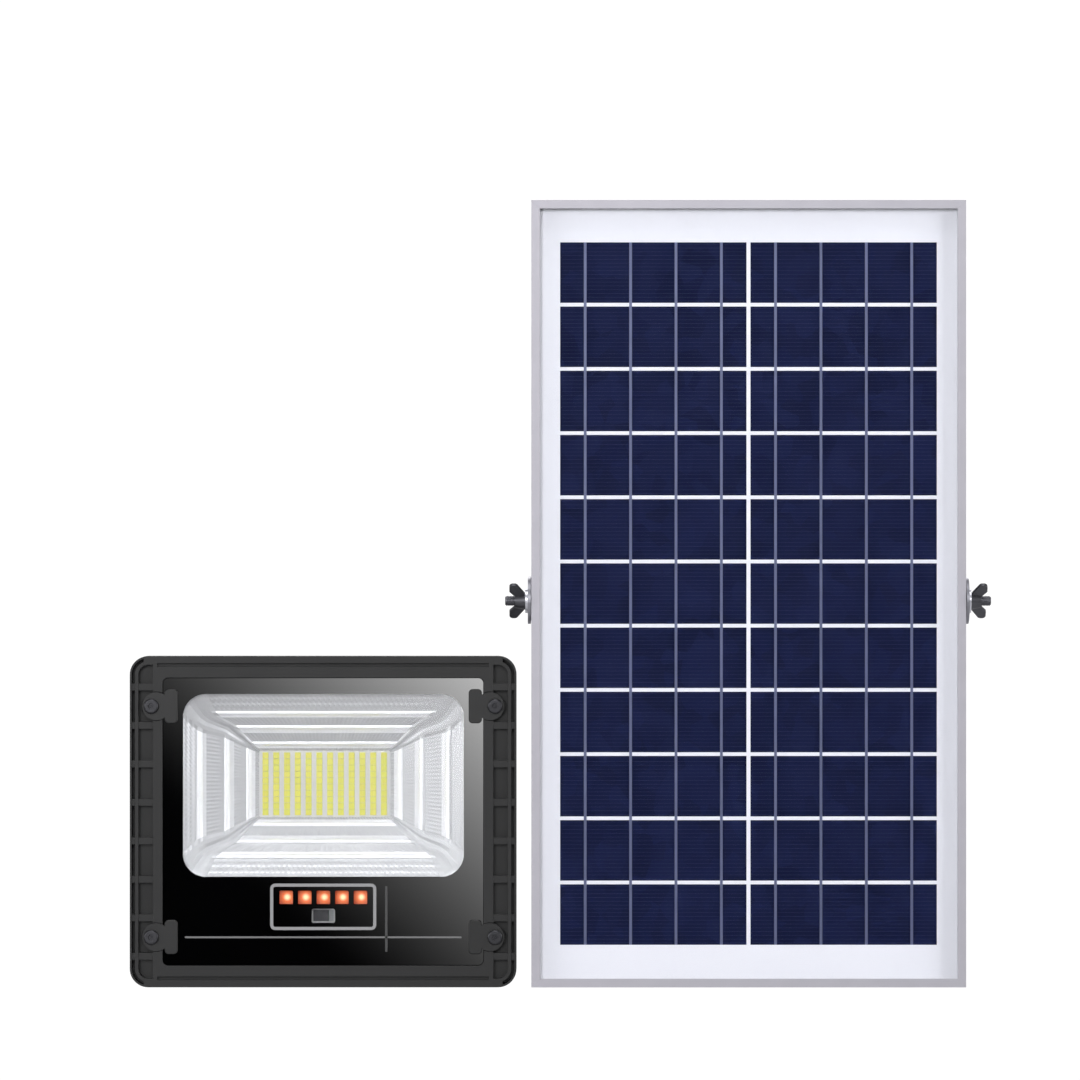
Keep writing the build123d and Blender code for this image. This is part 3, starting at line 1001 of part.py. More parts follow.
def make_junction_box():
    """Junction box on the backsheet, with lid, gasket, screws and terminal board."""
    z = BOX_Z - PANEL_Z
    box = block(BOX_WIDTH, BOX_HEIGHT, BACKSHEET_BACK_Y, BOX_RIM_Y, 0, z, BOX_CORNER)
    box -= block(BOX_WIDTH - 2 * BOX_WALL, BOX_HEIGHT - 2 * BOX_WALL, BACKSHEET_BACK_Y + BOX_WALL,
                 BOX_RIM_Y, 0, z, BOX_CORNER - BOX_WALL)
    screws = corners(BOX_WIDTH / 2 - BOX_SCREW_INSET, BOX_HEIGHT / 2 - BOX_SCREW_INSET, 0, z)
    gasket = block(BOX_WIDTH - MERGE, BOX_HEIGHT - MERGE, BOX_RIM_Y, BOX_RIM_Y + BOX_GASKET, 0, z,
                   BOX_CORNER - MERGE / 2)
    gasket -= block(BOX_WIDTH - 2 * BOX_WALL, BOX_HEIGHT - 2 * BOX_WALL, BOX_RIM_Y,
                    BOX_RIM_Y + BOX_GASKET, 0, z, BOX_CORNER - BOX_WALL)
    lid_y = BOX_RIM_Y + BOX_GASKET
    lid = block(BOX_WIDTH, BOX_HEIGHT, lid_y, lid_y + BOX_LID, 0, z, BOX_CORNER)
    lid = fillet(lid.edges().group_by(Axis.Y)[-1], BOX_LID_ROUND)
    for x, screw_z in screws:
        box += rod("front", BOX_POST, BOX_DEPTH - BOX_WALL + MERGE / 2, x, BOX_RIM_Y, screw_z)
        box -= rod("front", SMALL_SCREW + SCREW_GAP, BOX_SCREW_HOLE, x, BOX_RIM_Y, screw_z)
        lid -= rod("back", SMALL_SCREW + SCREW_ROOM, BOX_LID, x, lid_y, screw_z)
        gasket -= rod("back", SMALL_SCREW + SCREW_ROOM, BOX_GASKET, x, BOX_RIM_Y, screw_z)
    box -= rod("down", GLAND_THREAD + SCREW_GAP, BOX_WALL + MERGE, 0, BOX_GLAND_Y,
               z - BOX_HEIGHT / 2 + BOX_WALL + MERGE / 2)
    board_y = BACKSHEET_BACK_Y + BOX_WALL
    board_back, board_z = board_y + BOARD_THICKNESS, z + BOX_BOARD_Z
    board = block(BOX_BOARD_WIDTH, BOX_BOARD_HEIGHT, board_y, board_back, 0, board_z,
                  STATUS_CORNER)
    terminal = block(BOX_TERMINAL_WIDTH, BOX_TERMINAL_HEIGHT, board_back,
                     board_back + BOX_TERMINAL_DEPTH, BOX_TERMINAL_X, board_z)
    diode = rod("right", DIODE_RADIUS, DIODE_LENGTH, -DIODE_LENGTH / 2, board_back + DIODE_RADIUS,
                board_z)
    screw = round_screw(SMALL_SCREW, BOX_LID + BOX_GASKET + BOX_SCREW_GRIP, SMALL_HEAD,
                        SMALL_HEAD_HEIGHT, SMALL_FLATS)
    return {"junction_box": box, "junction_gasket": gasket, "junction_lid": lid,
            "junction_board": board, "junction_components": both_sides(terminal) + [diode],
            "junction_screws": ring_of(screws, screw, "back", lid_y + BOX_LID)}


def make_wing_nut():
    """Wing nut along +Z with its seat on z = 0 and its wings in the XZ plane."""
    tip = WING_SPAN / 2
    hub = Cone(WING_HUB_RADIUS, WING_HUB_RADIUS - WING_HUB_TAPER, WING_HUB_LENGTH, align=BASE)
    outline = Polygon((WING_ROOT, WING_FOOT), (WING_HUB_RADIUS + WING_HUB_TAPER, WING_FOOT),
                      (tip, WING_TIP_FOOT), (tip, WING_REACH), (tip - WING_TIP_WIDTH, WING_REACH),
                      (WING_ROOT_TOP, WING_HUB_LENGTH - WING_FOOT), align=None)
    outline = fillet(outline.vertices().group_by(Axis.X)[-1], WING_TIP_ROUND)
    blade = Rot(90, 0, 0) * extrude(outline, WING_THICKNESS / 2, both=True)
    nut = hub + blade + mirror(blade, Plane.YZ)
    return nut - Cylinder(WING_BOLT_RADIUS + RUN_GAP, 3 * WING_HUB_LENGTH)


def make_pivot_hardware():
    """Bolts, washers and wing nuts of the panel's two pivots."""
    seat_x = ARM_HALF_GAP + PANEL_STRAP
    inside_x = PANEL_WIDTH / 2 - FRAME_SHEET
    bolt = hex_bolt(WING_BOLT_RADIUS, seat_x + WING_BOLT_END - inside_x, WING_BOLT_FLATS,
                    WING_BOLT_HEAD)
    bolt = toward("left", inside_x, -PANEL_REACH, BOLT_Z) * bolt
    ring = washer("right", WASHER_RADIUS, WING_BOLT_RADIUS + WASHER_ROOM, WASHER_THICKNESS, seat_x,
                  -PANEL_REACH, BOLT_Z)
    nut_x = seat_x + WASHER_THICKNESS
    nut = toward("right", nut_x, -PANEL_REACH, BOLT_Z) * (Rot(0, 0, WING_ANGLE) * make_wing_nut())
    return {"panel_pivot_bolts": both_sides(bolt), "panel_pivot_washers": both_sides(ring),
            "wing_nut_right": nut, "wing_nut_left": mirror(nut, Plane.YZ)}


def make_panel():
    """Every node of the solar panel and its bracket."""
    groups = (make_frame_rails(), make_laminate(), make_junction_box(), make_pivot_hardware(),
              {"frame_corner_keys": make_corner_keys(), "panel_seal": make_panel_seal()})
    for group in groups:
        for name, piece in group.items():
            pieces = piece if isinstance(piece, list) else [piece]
            save(name, [PANEL_PLACE * item for item in pieces])
    save_gland("junction_gland", BOX_WALL,
               toward("down", PANEL_X, BOX_GLAND_Y, BOX_Z - BOX_HEIGHT / 2))
    bracket = make_u_bracket(2 * ARM_HALF_GAP, PANEL_STRAP, PANEL_REACH, WING_BOLT_RADIUS,
                             PANEL_SLOT_SPACING, PANEL_SLOT_LENGTH, PANEL_SLOT_RADIUS)
    save("panel_bracket", Pos(PANEL_X, 0, PIVOT_Z) * bracket)


os.makedirs("parts", exist_ok=True)
make_lamp()
make_panel()
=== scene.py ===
import logging
import math
from dataclasses import dataclass
from enum import Enum

import bmesh
import bpy
from bpy.types import Material, Mesh, Node, NodeSocket, NodeTree, Object
from mathutils import Matrix, Vector


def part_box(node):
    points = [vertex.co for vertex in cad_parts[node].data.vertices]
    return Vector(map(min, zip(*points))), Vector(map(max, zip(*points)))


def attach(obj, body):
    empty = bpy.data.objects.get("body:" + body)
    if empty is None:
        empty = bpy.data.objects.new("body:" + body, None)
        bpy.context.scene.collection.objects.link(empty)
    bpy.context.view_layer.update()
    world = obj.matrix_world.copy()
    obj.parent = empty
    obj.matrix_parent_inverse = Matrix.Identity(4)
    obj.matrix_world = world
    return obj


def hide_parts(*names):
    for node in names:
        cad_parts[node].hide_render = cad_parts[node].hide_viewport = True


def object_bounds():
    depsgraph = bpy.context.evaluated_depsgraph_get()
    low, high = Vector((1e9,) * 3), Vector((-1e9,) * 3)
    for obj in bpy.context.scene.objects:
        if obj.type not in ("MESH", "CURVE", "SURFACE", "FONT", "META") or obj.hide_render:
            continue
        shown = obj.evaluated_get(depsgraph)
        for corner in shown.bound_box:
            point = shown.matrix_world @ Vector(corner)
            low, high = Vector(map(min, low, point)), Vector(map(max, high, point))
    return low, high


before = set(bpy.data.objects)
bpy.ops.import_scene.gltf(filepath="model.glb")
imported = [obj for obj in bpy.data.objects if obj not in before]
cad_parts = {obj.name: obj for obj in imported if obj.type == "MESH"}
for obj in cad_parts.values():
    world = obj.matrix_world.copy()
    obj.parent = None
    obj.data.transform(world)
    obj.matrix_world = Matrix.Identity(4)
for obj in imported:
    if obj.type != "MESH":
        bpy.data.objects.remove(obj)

CAD_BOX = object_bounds()
LOG = logging.getLogger("solar_flood_light")
MM = 0.001
WELD = 1e-6                # points closer than this are one
LEAST_CORNER = 1e-5        # a sharp corner's radius
LIGHT_COUNT = 5            # status lights in their row
PLAIN_GLASS_IOR = 1.5
COATED_GLASS_IOR = 1.14    # stands for an antireflective coat on both faces
UPRIGHT = Matrix.Rotation(math.radians(90), 4, "X")    # stands a flat shape up to face the front
MIX_FIRST, MIX_SECOND, MIX_RESULT = 6, 7, 2            # colour sockets of the Mix node

Point = tuple[float, float]
Triple = tuple[float, float, float]
Loop = list[Point]


class Axis(Enum):
    """Direction that a surface is drawn or rolled in, as the scale of its pattern along X, Y, Z."""

    X = (0.03, 1.0, 1.0)
    Z = (1.0, 1.0, 0.03)


class Body(Enum):
    """Moving bodies that the modelled pieces ride on."""

    LAMP = "lamp"
    PANEL = "panel"


@dataclass(frozen=True)
class Box:
    """Space that a carried-over node takes up."""

    low: Triple
    high: Triple

    @classmethod
    def of(cls, node: str) -> "Box":
        """Box of a node of the frame."""
        return cls(*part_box(node))

    @property
    def size(self) -> Triple:
        """Width, depth and height."""
        return tuple(high - low for low, high in zip(self.low, self.high))

    @property
    def middle(self) -> Triple:
        """Centre of the box."""
        return tuple((low + high) / 2 for low, high in zip(self.low, self.high))


# Shader helpers --------------------------------------------


def linear(hex_colour: str) -> tuple[float, float, float, float]:
    """Turn an sRGB hex colour into linear RGBA.

    Args:
        hex_colour: Six hex digits after a hash sign.

    Returns:
        Linear red, green, blue and an alpha of one.
    """
    parts = [int(hex_colour[i:i + 2], 16) / 255 for i in (1, 3, 5)]
    red, green, blue = [part / 12.92 if part <= 0.04045 else ((part + 0.055) / 1.055) ** 2.4
                        for part in parts]
    return (red, green, blue, 1.0)


def per_metre(size_mm: float) -> float:
    """Texture scale of a pattern whose features are size_mm apart."""
    return 1000.0 / size_mm


def feed(tree: NodeTree, node: Node, inputs: dict) -> None:
    """Set each input of a node to a value, or link it from an output socket.

    Args:
        tree: Node tree that holds the node.
        node: Node to feed.
        inputs: Socket name or index to a value or an output socket.
    """
    for key, value in inputs.items():
        if isinstance(value, NodeSocket):
            tree.links.new(value, node.inputs[key])
        else:
            node.inputs[key].default_value = value


def add_node(tree: NodeTree, kind: str, inputs: dict | None = None, **settings: object) -> Node:
    """Add a node, set its properties, and set or link its inputs.

    Args:
        tree: Node tree that takes the node.
        kind: Blender's name of the node type.
        inputs: Socket name or index to a value, or to an output socket to link from.
        settings: Properties of the node itself.

    Returns:
        The new node.
    """
    node = tree.nodes.new(kind)
    for key, value in settings.items():
        setattr(node, key, value)
    feed(tree, node, inputs or {})
    return node


def mottle(tree: NodeTree, size_mm: float, detail: float = 2.0, along: Axis | None = None) -> NodeSocket:
    """Soft uneven pattern whose features are size_mm apart, drawn out along an axis if given.

    Args:
        tree: Node tree that takes the nodes.
        size_mm: Spacing of the features.
        detail: How much finer unevenness is mixed in.
        along: Axis that draws it out.

    Returns:
        The pattern, from 0 to 1.
    """
    place = add_node(tree, "ShaderNodeTexCoord").outputs["Object"]
    if along is not None:
        inputs = {"Vector": place, "Scale": along.value}
        place = add_node(tree, "ShaderNodeMapping", inputs).outputs[0]
    inputs = {"Vector": place, "Scale": per_metre(size_mm), "Detail": detail}
    return add_node(tree, "ShaderNodeTexNoise", inputs).outputs["Fac"]


def relief(tree: NodeTree, height: NodeSocket, depth_mm: float, edge_mm: float = 0.0) -> NodeSocket:
    """Surface normal from a height pattern, with edges softened by a small radius.

    Args:
        tree: Node tree that takes the nodes.
        height: Height pattern from 0 to 1.
        depth_mm: Height of its full range.
        edge_mm: Radius of the soft edges.

    Returns:
        The normal.
    """
    inputs = {"Height": height, "Distance": depth_mm * MM}
    if edge_mm:
        edge = add_node(tree, "ShaderNodeBevel", {"Radius": edge_mm * MM}, samples=4)
        inputs["Normal"] = edge.outputs[0]
    return add_node(tree, "ShaderNodeBump", inputs).outputs[0]


def new_material(name: str) -> tuple[Material, NodeTree, Node]:
    """Start a material and return it with its tree and its shader.

    Args:
        name: Name of the material.

    Returns:
        The material, its tree and its shader.
    """
    material = bpy.data.materials.new(name)
    material.use_nodes = True
    return material, material.node_tree, material.node_tree.nodes["Principled BSDF"]


def split_rays(tree: NodeTree, ray: str, usual: NodeSocket, special: NodeSocket, output: str) -> None:
    """Give one kind of ray its own shader.

    Args:
        tree: Node tree that takes the nodes.
        ray: Name of the Light Path output that tells the special rays.
        usual: Shader for all other rays.
        special: Shader for the special rays.
        output: Name of the tree's output node.
    """
    share = add_node(tree, "ShaderNodeLightPath").outputs[ray]
    mixed = add_node(tree, "ShaderNodeMixShader", {0: share, 1: usual, 2: special})
    tree.links.new(mixed.outputs[0], tree.nodes[output].inputs["Surface"])


# Finishes --------------------------------------------------


@dataclass(frozen=True)
class Finish:
    """A moulded, coated or printed surface: even colour, a fine grain and soft edges."""

    name: str    # material name in a maker's words
    colour: str    # main colour as an sRGB hex value
    tint: str    # second colour that the surface drifts to
    roughness: float
    grain_mm: float = 0.6    # spacing of the surface's own grain
    depth_mm: float = 0.01    # height of that grain
    edge_mm: float = 0.25    # radius that edges are softened by
    cloud_mm: float = 18.0    # spacing of the slow drift in gloss
    below: float = 0.05    # how far the roughness falls as it drifts
    above: float = 0.05    # how far it rises

    def build(self) -> Material:
        """Build the material once and return it.

        Returns:
            The material.
        """
        known = bpy.data.materials.get(self.name)
        if known is not None:
            return known
        material, tree, shader = new_material(self.name)
        self.shade(tree, shader)
        return material

    def tones(self, tree: NodeTree, share: NodeSocket) -> NodeSocket:
        """The finish's own two colours, blended by a share."""
        inputs = {0: share, MIX_FIRST: linear(self.colour), MIX_SECOND: linear(self.tint)}
        return add_node(tree, "ShaderNodeMix", inputs, data_type="RGBA").outputs[MIX_RESULT]

    def gloss(self, tree: NodeTree, share: NodeSocket) -> NodeSocket:
        """The finish's roughness, drifting with a share."""
        ends = {"To Min": self.roughness - self.below, "To Max": self.roughness + self.above}
        return add_node(tree, "ShaderNodeMapRange", {"Value": share, **ends}).outputs[0]

    def shade(self, tree: NodeTree, shader: Node) -> None:
        """Set up the shader; each kind of finish adds its own look.

        Args:
            tree: Node tree of the material.
            shader: Its shader.
        """
        grain = mottle(tree, self.grain_mm)
        cloud = mottle(tree, self.cloud_mm)
        feed(tree, shader, {
            "Base Color": self.tones(tree, grain),
            "Roughness": self.gloss(tree, cloud),
            "Normal": relief(tree, grain, self.depth_mm, self.edge_mm)})


@dataclass(frozen=True)
class PowderCoat(Finish):
    """Baked polyester powder on metal: satin, with a faint orange peel and softened edges."""

    edge_mm: float = 0.45
    cloud_mm: float = 25.0
    below: float = 0.04
    above: float = 0.06
    speck_share: float = 0.4    # spacing of the colour's specks as a share of the grain's

    def shade(self, tree: NodeTree, shader: Node) -> None:
        """Add orange peel and soft edges to the satin coat.

        Args:
            tree: Node tree of the material.
            shader: Its shader.
        """
        peel = mottle(tree, self.grain_mm, detail=1.0)
        speck = mottle(tree, self.grain_mm * self.speck_share, detail=3.0)
        cloud = mottle(tree, self.cloud_mm)
        feed(tree, shader, {
            "Base Color": self.tones(tree, speck),
            "Roughness": self.gloss(tree, cloud),
            "Normal": relief(tree, peel, self.depth_mm, self.edge_mm),
            "IOR": PLAIN_GLASS_IOR})


@dataclass(frozen=True)
class DrawnMetal(Finish):
    """Rolled, drawn or extruded bare metal, with fine lines along one direction."""

    edge_mm: float = 0.2
    cloud_mm: float = 12.0
    below: float = 0.08
    above: float = 0.1
    along: Axis = Axis.X
    metallic: float = 1.0

    def shade(self, tree: NodeTree, shader: Node) -> None:
        """Add lines along the metal and a slight cloudiness.

        Args:
            tree: Node tree of the material.
            shader: Its shader.
        """
        lines = mottle(tree, self.grain_mm, detail=3.0, along=self.along)
        cloud = mottle(tree, self.cloud_mm)
        feed(tree, shader, {
            "Base Color": self.tones(tree, cloud),
            "Roughness": self.gloss(tree, lines),
            "Normal": relief(tree, lines, self.depth_mm, self.edge_mm),
            "Metallic": self.metallic})


@dataclass(frozen=True)
class ClearGlass(Finish):
    """Coated float glass: clear, smooth and nearly free of mirror glare."""

    def shade(self, tree: NodeTree, shader: Node) -> None:
        """Glass for what is seen, plain passage for what is lit.

        Args:
            tree: Node tree of the material.
            shader: Its shader.
        """
        feed(tree, shader, {"Base Color": linear(self.colour), "Roughness": self.roughness,
                            "IOR": COATED_GLASS_IOR, "Transmission Weight": 1.0})
        passage = add_node(tree, "ShaderNodeBsdfTransparent", {"Color": linear(self.tint)})
        split_rays(tree, "Is Shadow Ray", shader.outputs[0], passage.outputs[0],
                   "Material Output")


@dataclass(frozen=True)
class PrintedGlass(Finish):
    """Black ceramic ink under glass: nearly black, with a mirror-smooth face."""

    def shade(self, tree: NodeTree, shader: Node) -> None:
        """Deep black under a smooth face with the faint wave of tempered glass.

        Args:
            tree: Node tree of the material.
            shader: Its shader.
        """
        wave = mottle(tree, self.grain_mm, detail=1.0)
        feed(tree, shader, {
            "Base Color": self.tones(tree, wave), "Roughness": self.roughness,
            "IOR": PLAIN_GLASS_IOR, "Normal": relief(tree, wave, self.depth_mm)})


@dataclass(frozen=True)
class MetallisedPlastic(Finish):
    """Polycarbonate with a vacuum-deposited aluminium film: bright, soft-edged and silvery."""

    cloud_mm: float = 9.0
    above: float = 0.08
    metallic: float = 0.6

    def shade(self, tree: NodeTree, shader: Node) -> None:
        """A bright metal film, with a faint ripple from the mould where it has a depth.

        Args:
            tree: Node tree of the material.
            shader: Its shader.
        """
        ripple = mottle(tree, self.grain_mm)
        cloud = mottle(tree, self.cloud_mm)
        feed(tree, shader, {
            "Base Color": self.tones(tree, ripple), "Metallic": self.metallic,
            "Roughness": self.gloss(tree, cloud)})
        if self.depth_mm > 0:
            feed(tree, shader, {"Normal": relief(tree, ripple, self.depth_mm)})


@dataclass(frozen=True)
class Silicon(Finish):
    """Textured silicon under an antireflection nitride: deep navy, each crystal a shade apart."""

    below: float = 0.08
    above: float = 0.08
    specular: float = 0.04

    def shade(self, tree: NodeTree, shader: Node) -> None:
        """Crystals as cells of slightly different navy, with a faint sheen.

        Args:
            tree: Node tree of the material.
            shader: Its shader.
        """
        place = add_node(tree, "ShaderNodeTexCoord")
        crystal = add_node(tree, "ShaderNodeTexVoronoi", {
            "Vector": place.outputs["Object"], "Scale": per_metre(self.grain_mm)})
        parts = add_node(tree, "ShaderNodeSeparateColor", {"Color": crystal.outputs["Color"]})
        feed(tree, shader, {
            "Base Color": self.tones(tree, parts.outputs[0]),
            "Roughness": self.gloss(tree, parts.outputs[1]),
            "Normal": relief(tree, crystal.outputs["Distance"], self.depth_mm),
            "Specular IOR Level": self.specular})


@dataclass(frozen=True)
class StatusGlow(Finish):
    """Diffused orange diode: a hot spot in each square lens that falls off to dull orange."""

    pitch: float = 10.0 * MM
    centre_x: float = 0.0    # middle of the middle light's spot
    centre_z: float = 0.0    # height of the lights' middle
    reach: float = 5.0 * MM    # distance at which the glow ends
    # colour and end of the hot spot, the halo and the lens's sides, from the middle out
    glow: tuple[tuple[str, float], ...] = (("#fff4c0", 0.16), ("#dd6c30", 0.48), ("#8c2a10", 1.0))
    strength: float = 0.95

    def shade(self, tree: NodeTree, shader: Node) -> None:
        """Light that falls from a pale hot spot to deep orange at the lens's sides.

        Args:
            tree: Node tree of the material.
            shader: Its shader.
        """
        place = add_node(tree, "ShaderNodeTexCoord")
        parts = add_node(tree, "ShaderNodeSeparateXYZ", {"Vector": place.outputs["Object"]})
        across = parts.outputs["X"]
        for operation, value in (("SUBTRACT", self.centre_x - self.pitch / 2),
                                 ("FLOORED_MODULO", self.pitch), ("SUBTRACT", self.pitch / 2)):
            across = add_node(tree, "ShaderNodeMath", {0: across, 1: value},
                              operation=operation).outputs[0]
        upward = add_node(tree, "ShaderNodeMath", {0: parts.outputs["Z"], 1: self.centre_z},
                          operation="SUBTRACT")
        flat = add_node(tree, "ShaderNodeCombineXYZ", {"X": across, "Y": upward.outputs[0]})
        away = add_node(tree, "ShaderNodeVectorMath", {0: flat.outputs[0]}, operation="LENGTH")
        share = add_node(tree, "ShaderNodeMath", {0: away.outputs["Value"], 1: self.reach},
                         operation="DIVIDE")
        ramp = add_node(tree, "ShaderNodeValToRGB", {"Fac": share.outputs[0]})
        stops = ramp.color_ramp.elements
        stops.new(0.5)    # the third stop; all three are placed next
        for stop, (colour, end) in zip(stops, self.glow):
            stop.position, stop.color = end, linear(colour)
        feed(tree, shader, {
            "Emission Color": ramp.outputs["Color"], "Emission Strength": self.strength,
            "Base Color": linear(self.colour), "Roughness": self.roughness})


@dataclass(frozen=True)
class CircuitBoard(Finish):
    """Solder resist over etched copper: glossy green, with paler tracks."""

    track: float = 0.04

    def shade(self, tree: NodeTree, shader: Node) -> None:
        """Tracks as a fine brick pattern under the resist.

        Args:
            tree: Node tree of the material.
            shader: Its shader.
        """
        place = add_node(tree, "ShaderNodeTexCoord")
        turned = add_node(tree, "ShaderNodeMapping", {
            "Vector": place.outputs["Object"], "Rotation": (math.radians(90), 0, 0)})
        tracks = add_node(tree, "ShaderNodeTexBrick", {
            "Vector": turned.outputs[0], "Scale": per_metre(self.grain_mm) / 2,
            "Color1": linear(self.colour), "Color2": linear(self.colour),
            "Mortar": linear(self.tint), "Mortar Size": self.track})
        feed(tree, shader, {
            "Base Color": tracks.outputs["Color"], "Roughness": self.roughness,
            "Normal": relief(tree, tracks.outputs["Fac"], self.depth_mm)})


# Die-cast aluminium, baked powder: satin black with a faint orange peel and soft edges
CAST_COAT = PowderCoat("satin_black_powder_coat", "#0c0c0d", "#111112", 0.5, 0.9, 0.012)
# Pressed steel, baked powder: satin black, flatter and a little smoother than on the casting
STRAP_COAT = PowderCoat("satin_black_coated_steel", "#0a0a0b", "#0e0e0f", 0.42, 0.7, 0.008, 0.3)
# Cold-headed steel, black passivated zinc: dark grey with a dull shine
BLACK_ZINC = DrawnMetal("black_zinc_plated_steel", "#3a3a3d", "#454548", 0.38, 0.5, 0.006)
# Turned steel, weathered zinc: mid grey, cloudy, with faint turning lines
WORN_ZINC = DrawnMetal("dull_zinc_plated_steel", "#5c5c61", "#6e6e74", 0.42, 0.5, 0.008)
# Headed steel, fresh blue zinc: bright silver with soft reflections
BRIGHT_ZINC = DrawnMetal("bright_zinc_plated_steel", "#c9c9d2", "#dddde4", 0.3, 0.5, 0.006)
# Rolled and bent steel strip, zinc plated: grey, with fine lines along the strip
STRAP_ZINC = DrawnMetal("zinc_plated_strap", "#85858c", "#98989f", 0.42, 0.4, 0.005)
# Pressure die-cast zinc: dark, cloudy grey with a grainy skin
DARK_ZINC = DrawnMetal("die_cast_dark_zinc", "#4f4f53", "#626267", 0.4, 0.6, 0.01)
# Extruded aluminium, etched and clear anodised: matt silver with faint die lines along each rail
ANODISED_UPRIGHT = DrawnMetal("clear_anodised_aluminium_upright", "#adabb3", "#b6b4bc",
                              0.45, 0.35, 0.004, along=Axis.Z, metallic=0.4)
ANODISED_LEVEL = DrawnMetal("clear_anodised_aluminium_level", "#adabb3", "#b6b4bc",
                            0.45, 0.35, 0.004, metallic=0.4)
# Float glass, coated on both faces: clear, with hardly any glare
FLOAT_GLASS = ClearGlass("coated_float_glass", "#ffffff", "#f4f7f7", 0.0)
# Tempered glass with ceramic ink fired on its back: deep black under a mirror-smooth face
INKED_GLASS = PrintedGlass("black_ceramic_ink_under_glass", "#020202", "#030304", 0.03,
                           40.0, 0.002)
# Moulded polycarbonate, vacuum metallised: the polished ridges, their colour paler than the bowl's film
# as a painted highlight so that they show white
PAINTED_HIGHLIGHT_BEAD = MetallisedPlastic("polished_film_with_painted_highlight", "#e2e2e6", "#ebebee", 0.3, 4.0, 0.0)
# The same film over a textured mould: soft silver grey
SILVER_FILM = MetallisedPlastic("vacuum_aluminium_on_polycarbonate", "#b6b6ba", "#bfbfc2", 0.42,
                                3.0, 0.01)
# Ceramic ink, screen printed and fired: flat, even lines in three greys
INK_LINE = Finish("pale_grey_ceramic_ink", "#8e8e90", "#98989a", 0.45, 0.3, 0.002)
SOFT_INK_LINE = Finish("mid_grey_ceramic_ink", "#6c6c6d", "#757576", 0.45, 0.3, 0.002)
DIM_INK_LINE = Finish("dark_grey_ceramic_ink", "#3c3c3d", "#434344", 0.4, 0.3, 0.002)
# Solder resist, screen printed: even white with a soft gloss
WHITE_RESIST = Finish("white_solder_resist", "#babcbd", "#c5c2c6", 0.4, 2.0, 0.003)
# Phosphor stirred into poured silicone: chrome yellow, slightly uneven
PHOSPHOR = Finish("yellow_phosphor_in_silicone", "#bcc247", "#cabc59", 0.35, 5.0, 0.01)
# Injection-moulded polyamide: black with a fine spark-eroded grain
BLACK_NYLON = Finish("moulded_black_polyamide", "#161617", "#1d1d1e", 0.5, 0.5, 0.015)
# Compression-moulded silicone: dull black
SEAL_RUBBER = Finish("moulded_silicone_rubber", "#141414", "#1a1a1a", 0.62, 0.8, 0.02)
# Extruded silicone tape: dull, pale grey
PALE_SEAL = Finish("pale_grey_silicone_tape", "#c9c9ce", "#d0d0d5", 0.6, 0.8, 0.02)
# Moulded silicone cap: dull red
RED_CAP = Finish("moulded_red_silicone", "#a3201a", "#b02a22", 0.5, 0.7, 0.015)
# Moulded acrylic that only infrared passes: dark and glossy
SMOKED_LENS = Finish("infrared_passing_acrylic", "#3a3a3d", "#404044", 0.12, 2.0, 0.001)
# Moulded acrylic with a frosted face: milky grey
PALE_LENS = Finish("frosted_acrylic", "#6e6e72", "#7a7a7e", 0.3, 2.0, 0.001)
# Glass epoxy with green resist over copper: glossy green, paler over the tracks
GREEN_BOARD = CircuitBoard("green_resist_over_copper", "#0f4a26", "#1c6b3a", 0.3, 2.4, 0.02)
# Shrunk vinyl sleeve: glossy blue with slight waves
BLUE_SLEEVE = Finish("blue_shrink_sleeve", "#1b4f94", "#215aa6", 0.3, 6.0, 0.02)
# Closed-cell foam, sliced: matt black with open pores on the cut
FOAM = Finish("closed_cell_foam", "#1c1c1d", "#2a2a2b", 0.9, 0.9, 0.12)
# Laminated polyester film: flat white
WHITE_FILM = Finish("white_polyester_backsheet", "#f8f6fb", "#fdfbff", 0.5, 1.5, 0.004)
# Sawn, etched silicon with a nitride coat: deep navy, crystals drawn 9 mm apart
WAFER = Silicon("nitride_coated_silicon", "#0a102c", "#121838", 0.6, 9.0, 0.004)
# Rolled copper dipped in tin: bluish grey with fine lines along the ribbon
TINNED_RIBBON = DrawnMetal("tinned_copper_ribbon", "#7c80a2", "#8c90b0", 0.4, 0.3, 0.004,
                           along=Axis.Z, metallic=0.4)
# Silver paste, printed and fired: thin lines a shade paler than the cell
SILVER_PASTE = DrawnMetal("fired_silver_paste", "#1d2348", "#252b50", 0.45, 0.3, 0.002,
                          metallic=0.4)


# Mesh helpers ----------------------------------------------


def plain_object(name: str, mesh: Mesh) -> Object:
    """Link a mesh to the scene as an object at the origin.

    Args:
        name: Name of the object.
        mesh: What it holds.

    Returns:
        The object.
    """
    piece = bpy.data.objects.new(name, mesh)
    bpy.context.scene.collection.objects.link(piece)
    return piece


def evaluated_mesh(source: Object) -> Mesh:
    """Mesh that an object's curve or modifiers give, free of the object itself.

    Args:
        source: Object with a curve or modifiers.

    Returns:
        The mesh.
    """
    bpy.context.view_layer.update()
    graph = bpy.context.evaluated_depsgraph_get()
    return bpy.data.meshes.new_from_object(source.evaluated_get(graph))


def mesh_from(name: str, vertices: list[Vector], faces: list[tuple[int, ...]]) -> Mesh:
    """Build a clean mesh with its faces turned outwards.

    Args:
        name: Name of the mesh.
        vertices: Its points.
        faces: Point numbers of each face.

    Returns:
        The mesh.
    """
    mesh = bpy.data.meshes.new(name)
    mesh.from_pydata([tuple(v) for v in vertices], [], faces)
    work = bmesh.new()
    work.from_mesh(mesh)
    bmesh.ops.remove_doubles(work, verts=work.verts, dist=WELD)
    bmesh.ops.recalc_face_normals(work, faces=work.faces)
    work.to_mesh(mesh)
    work.free()
    return mesh


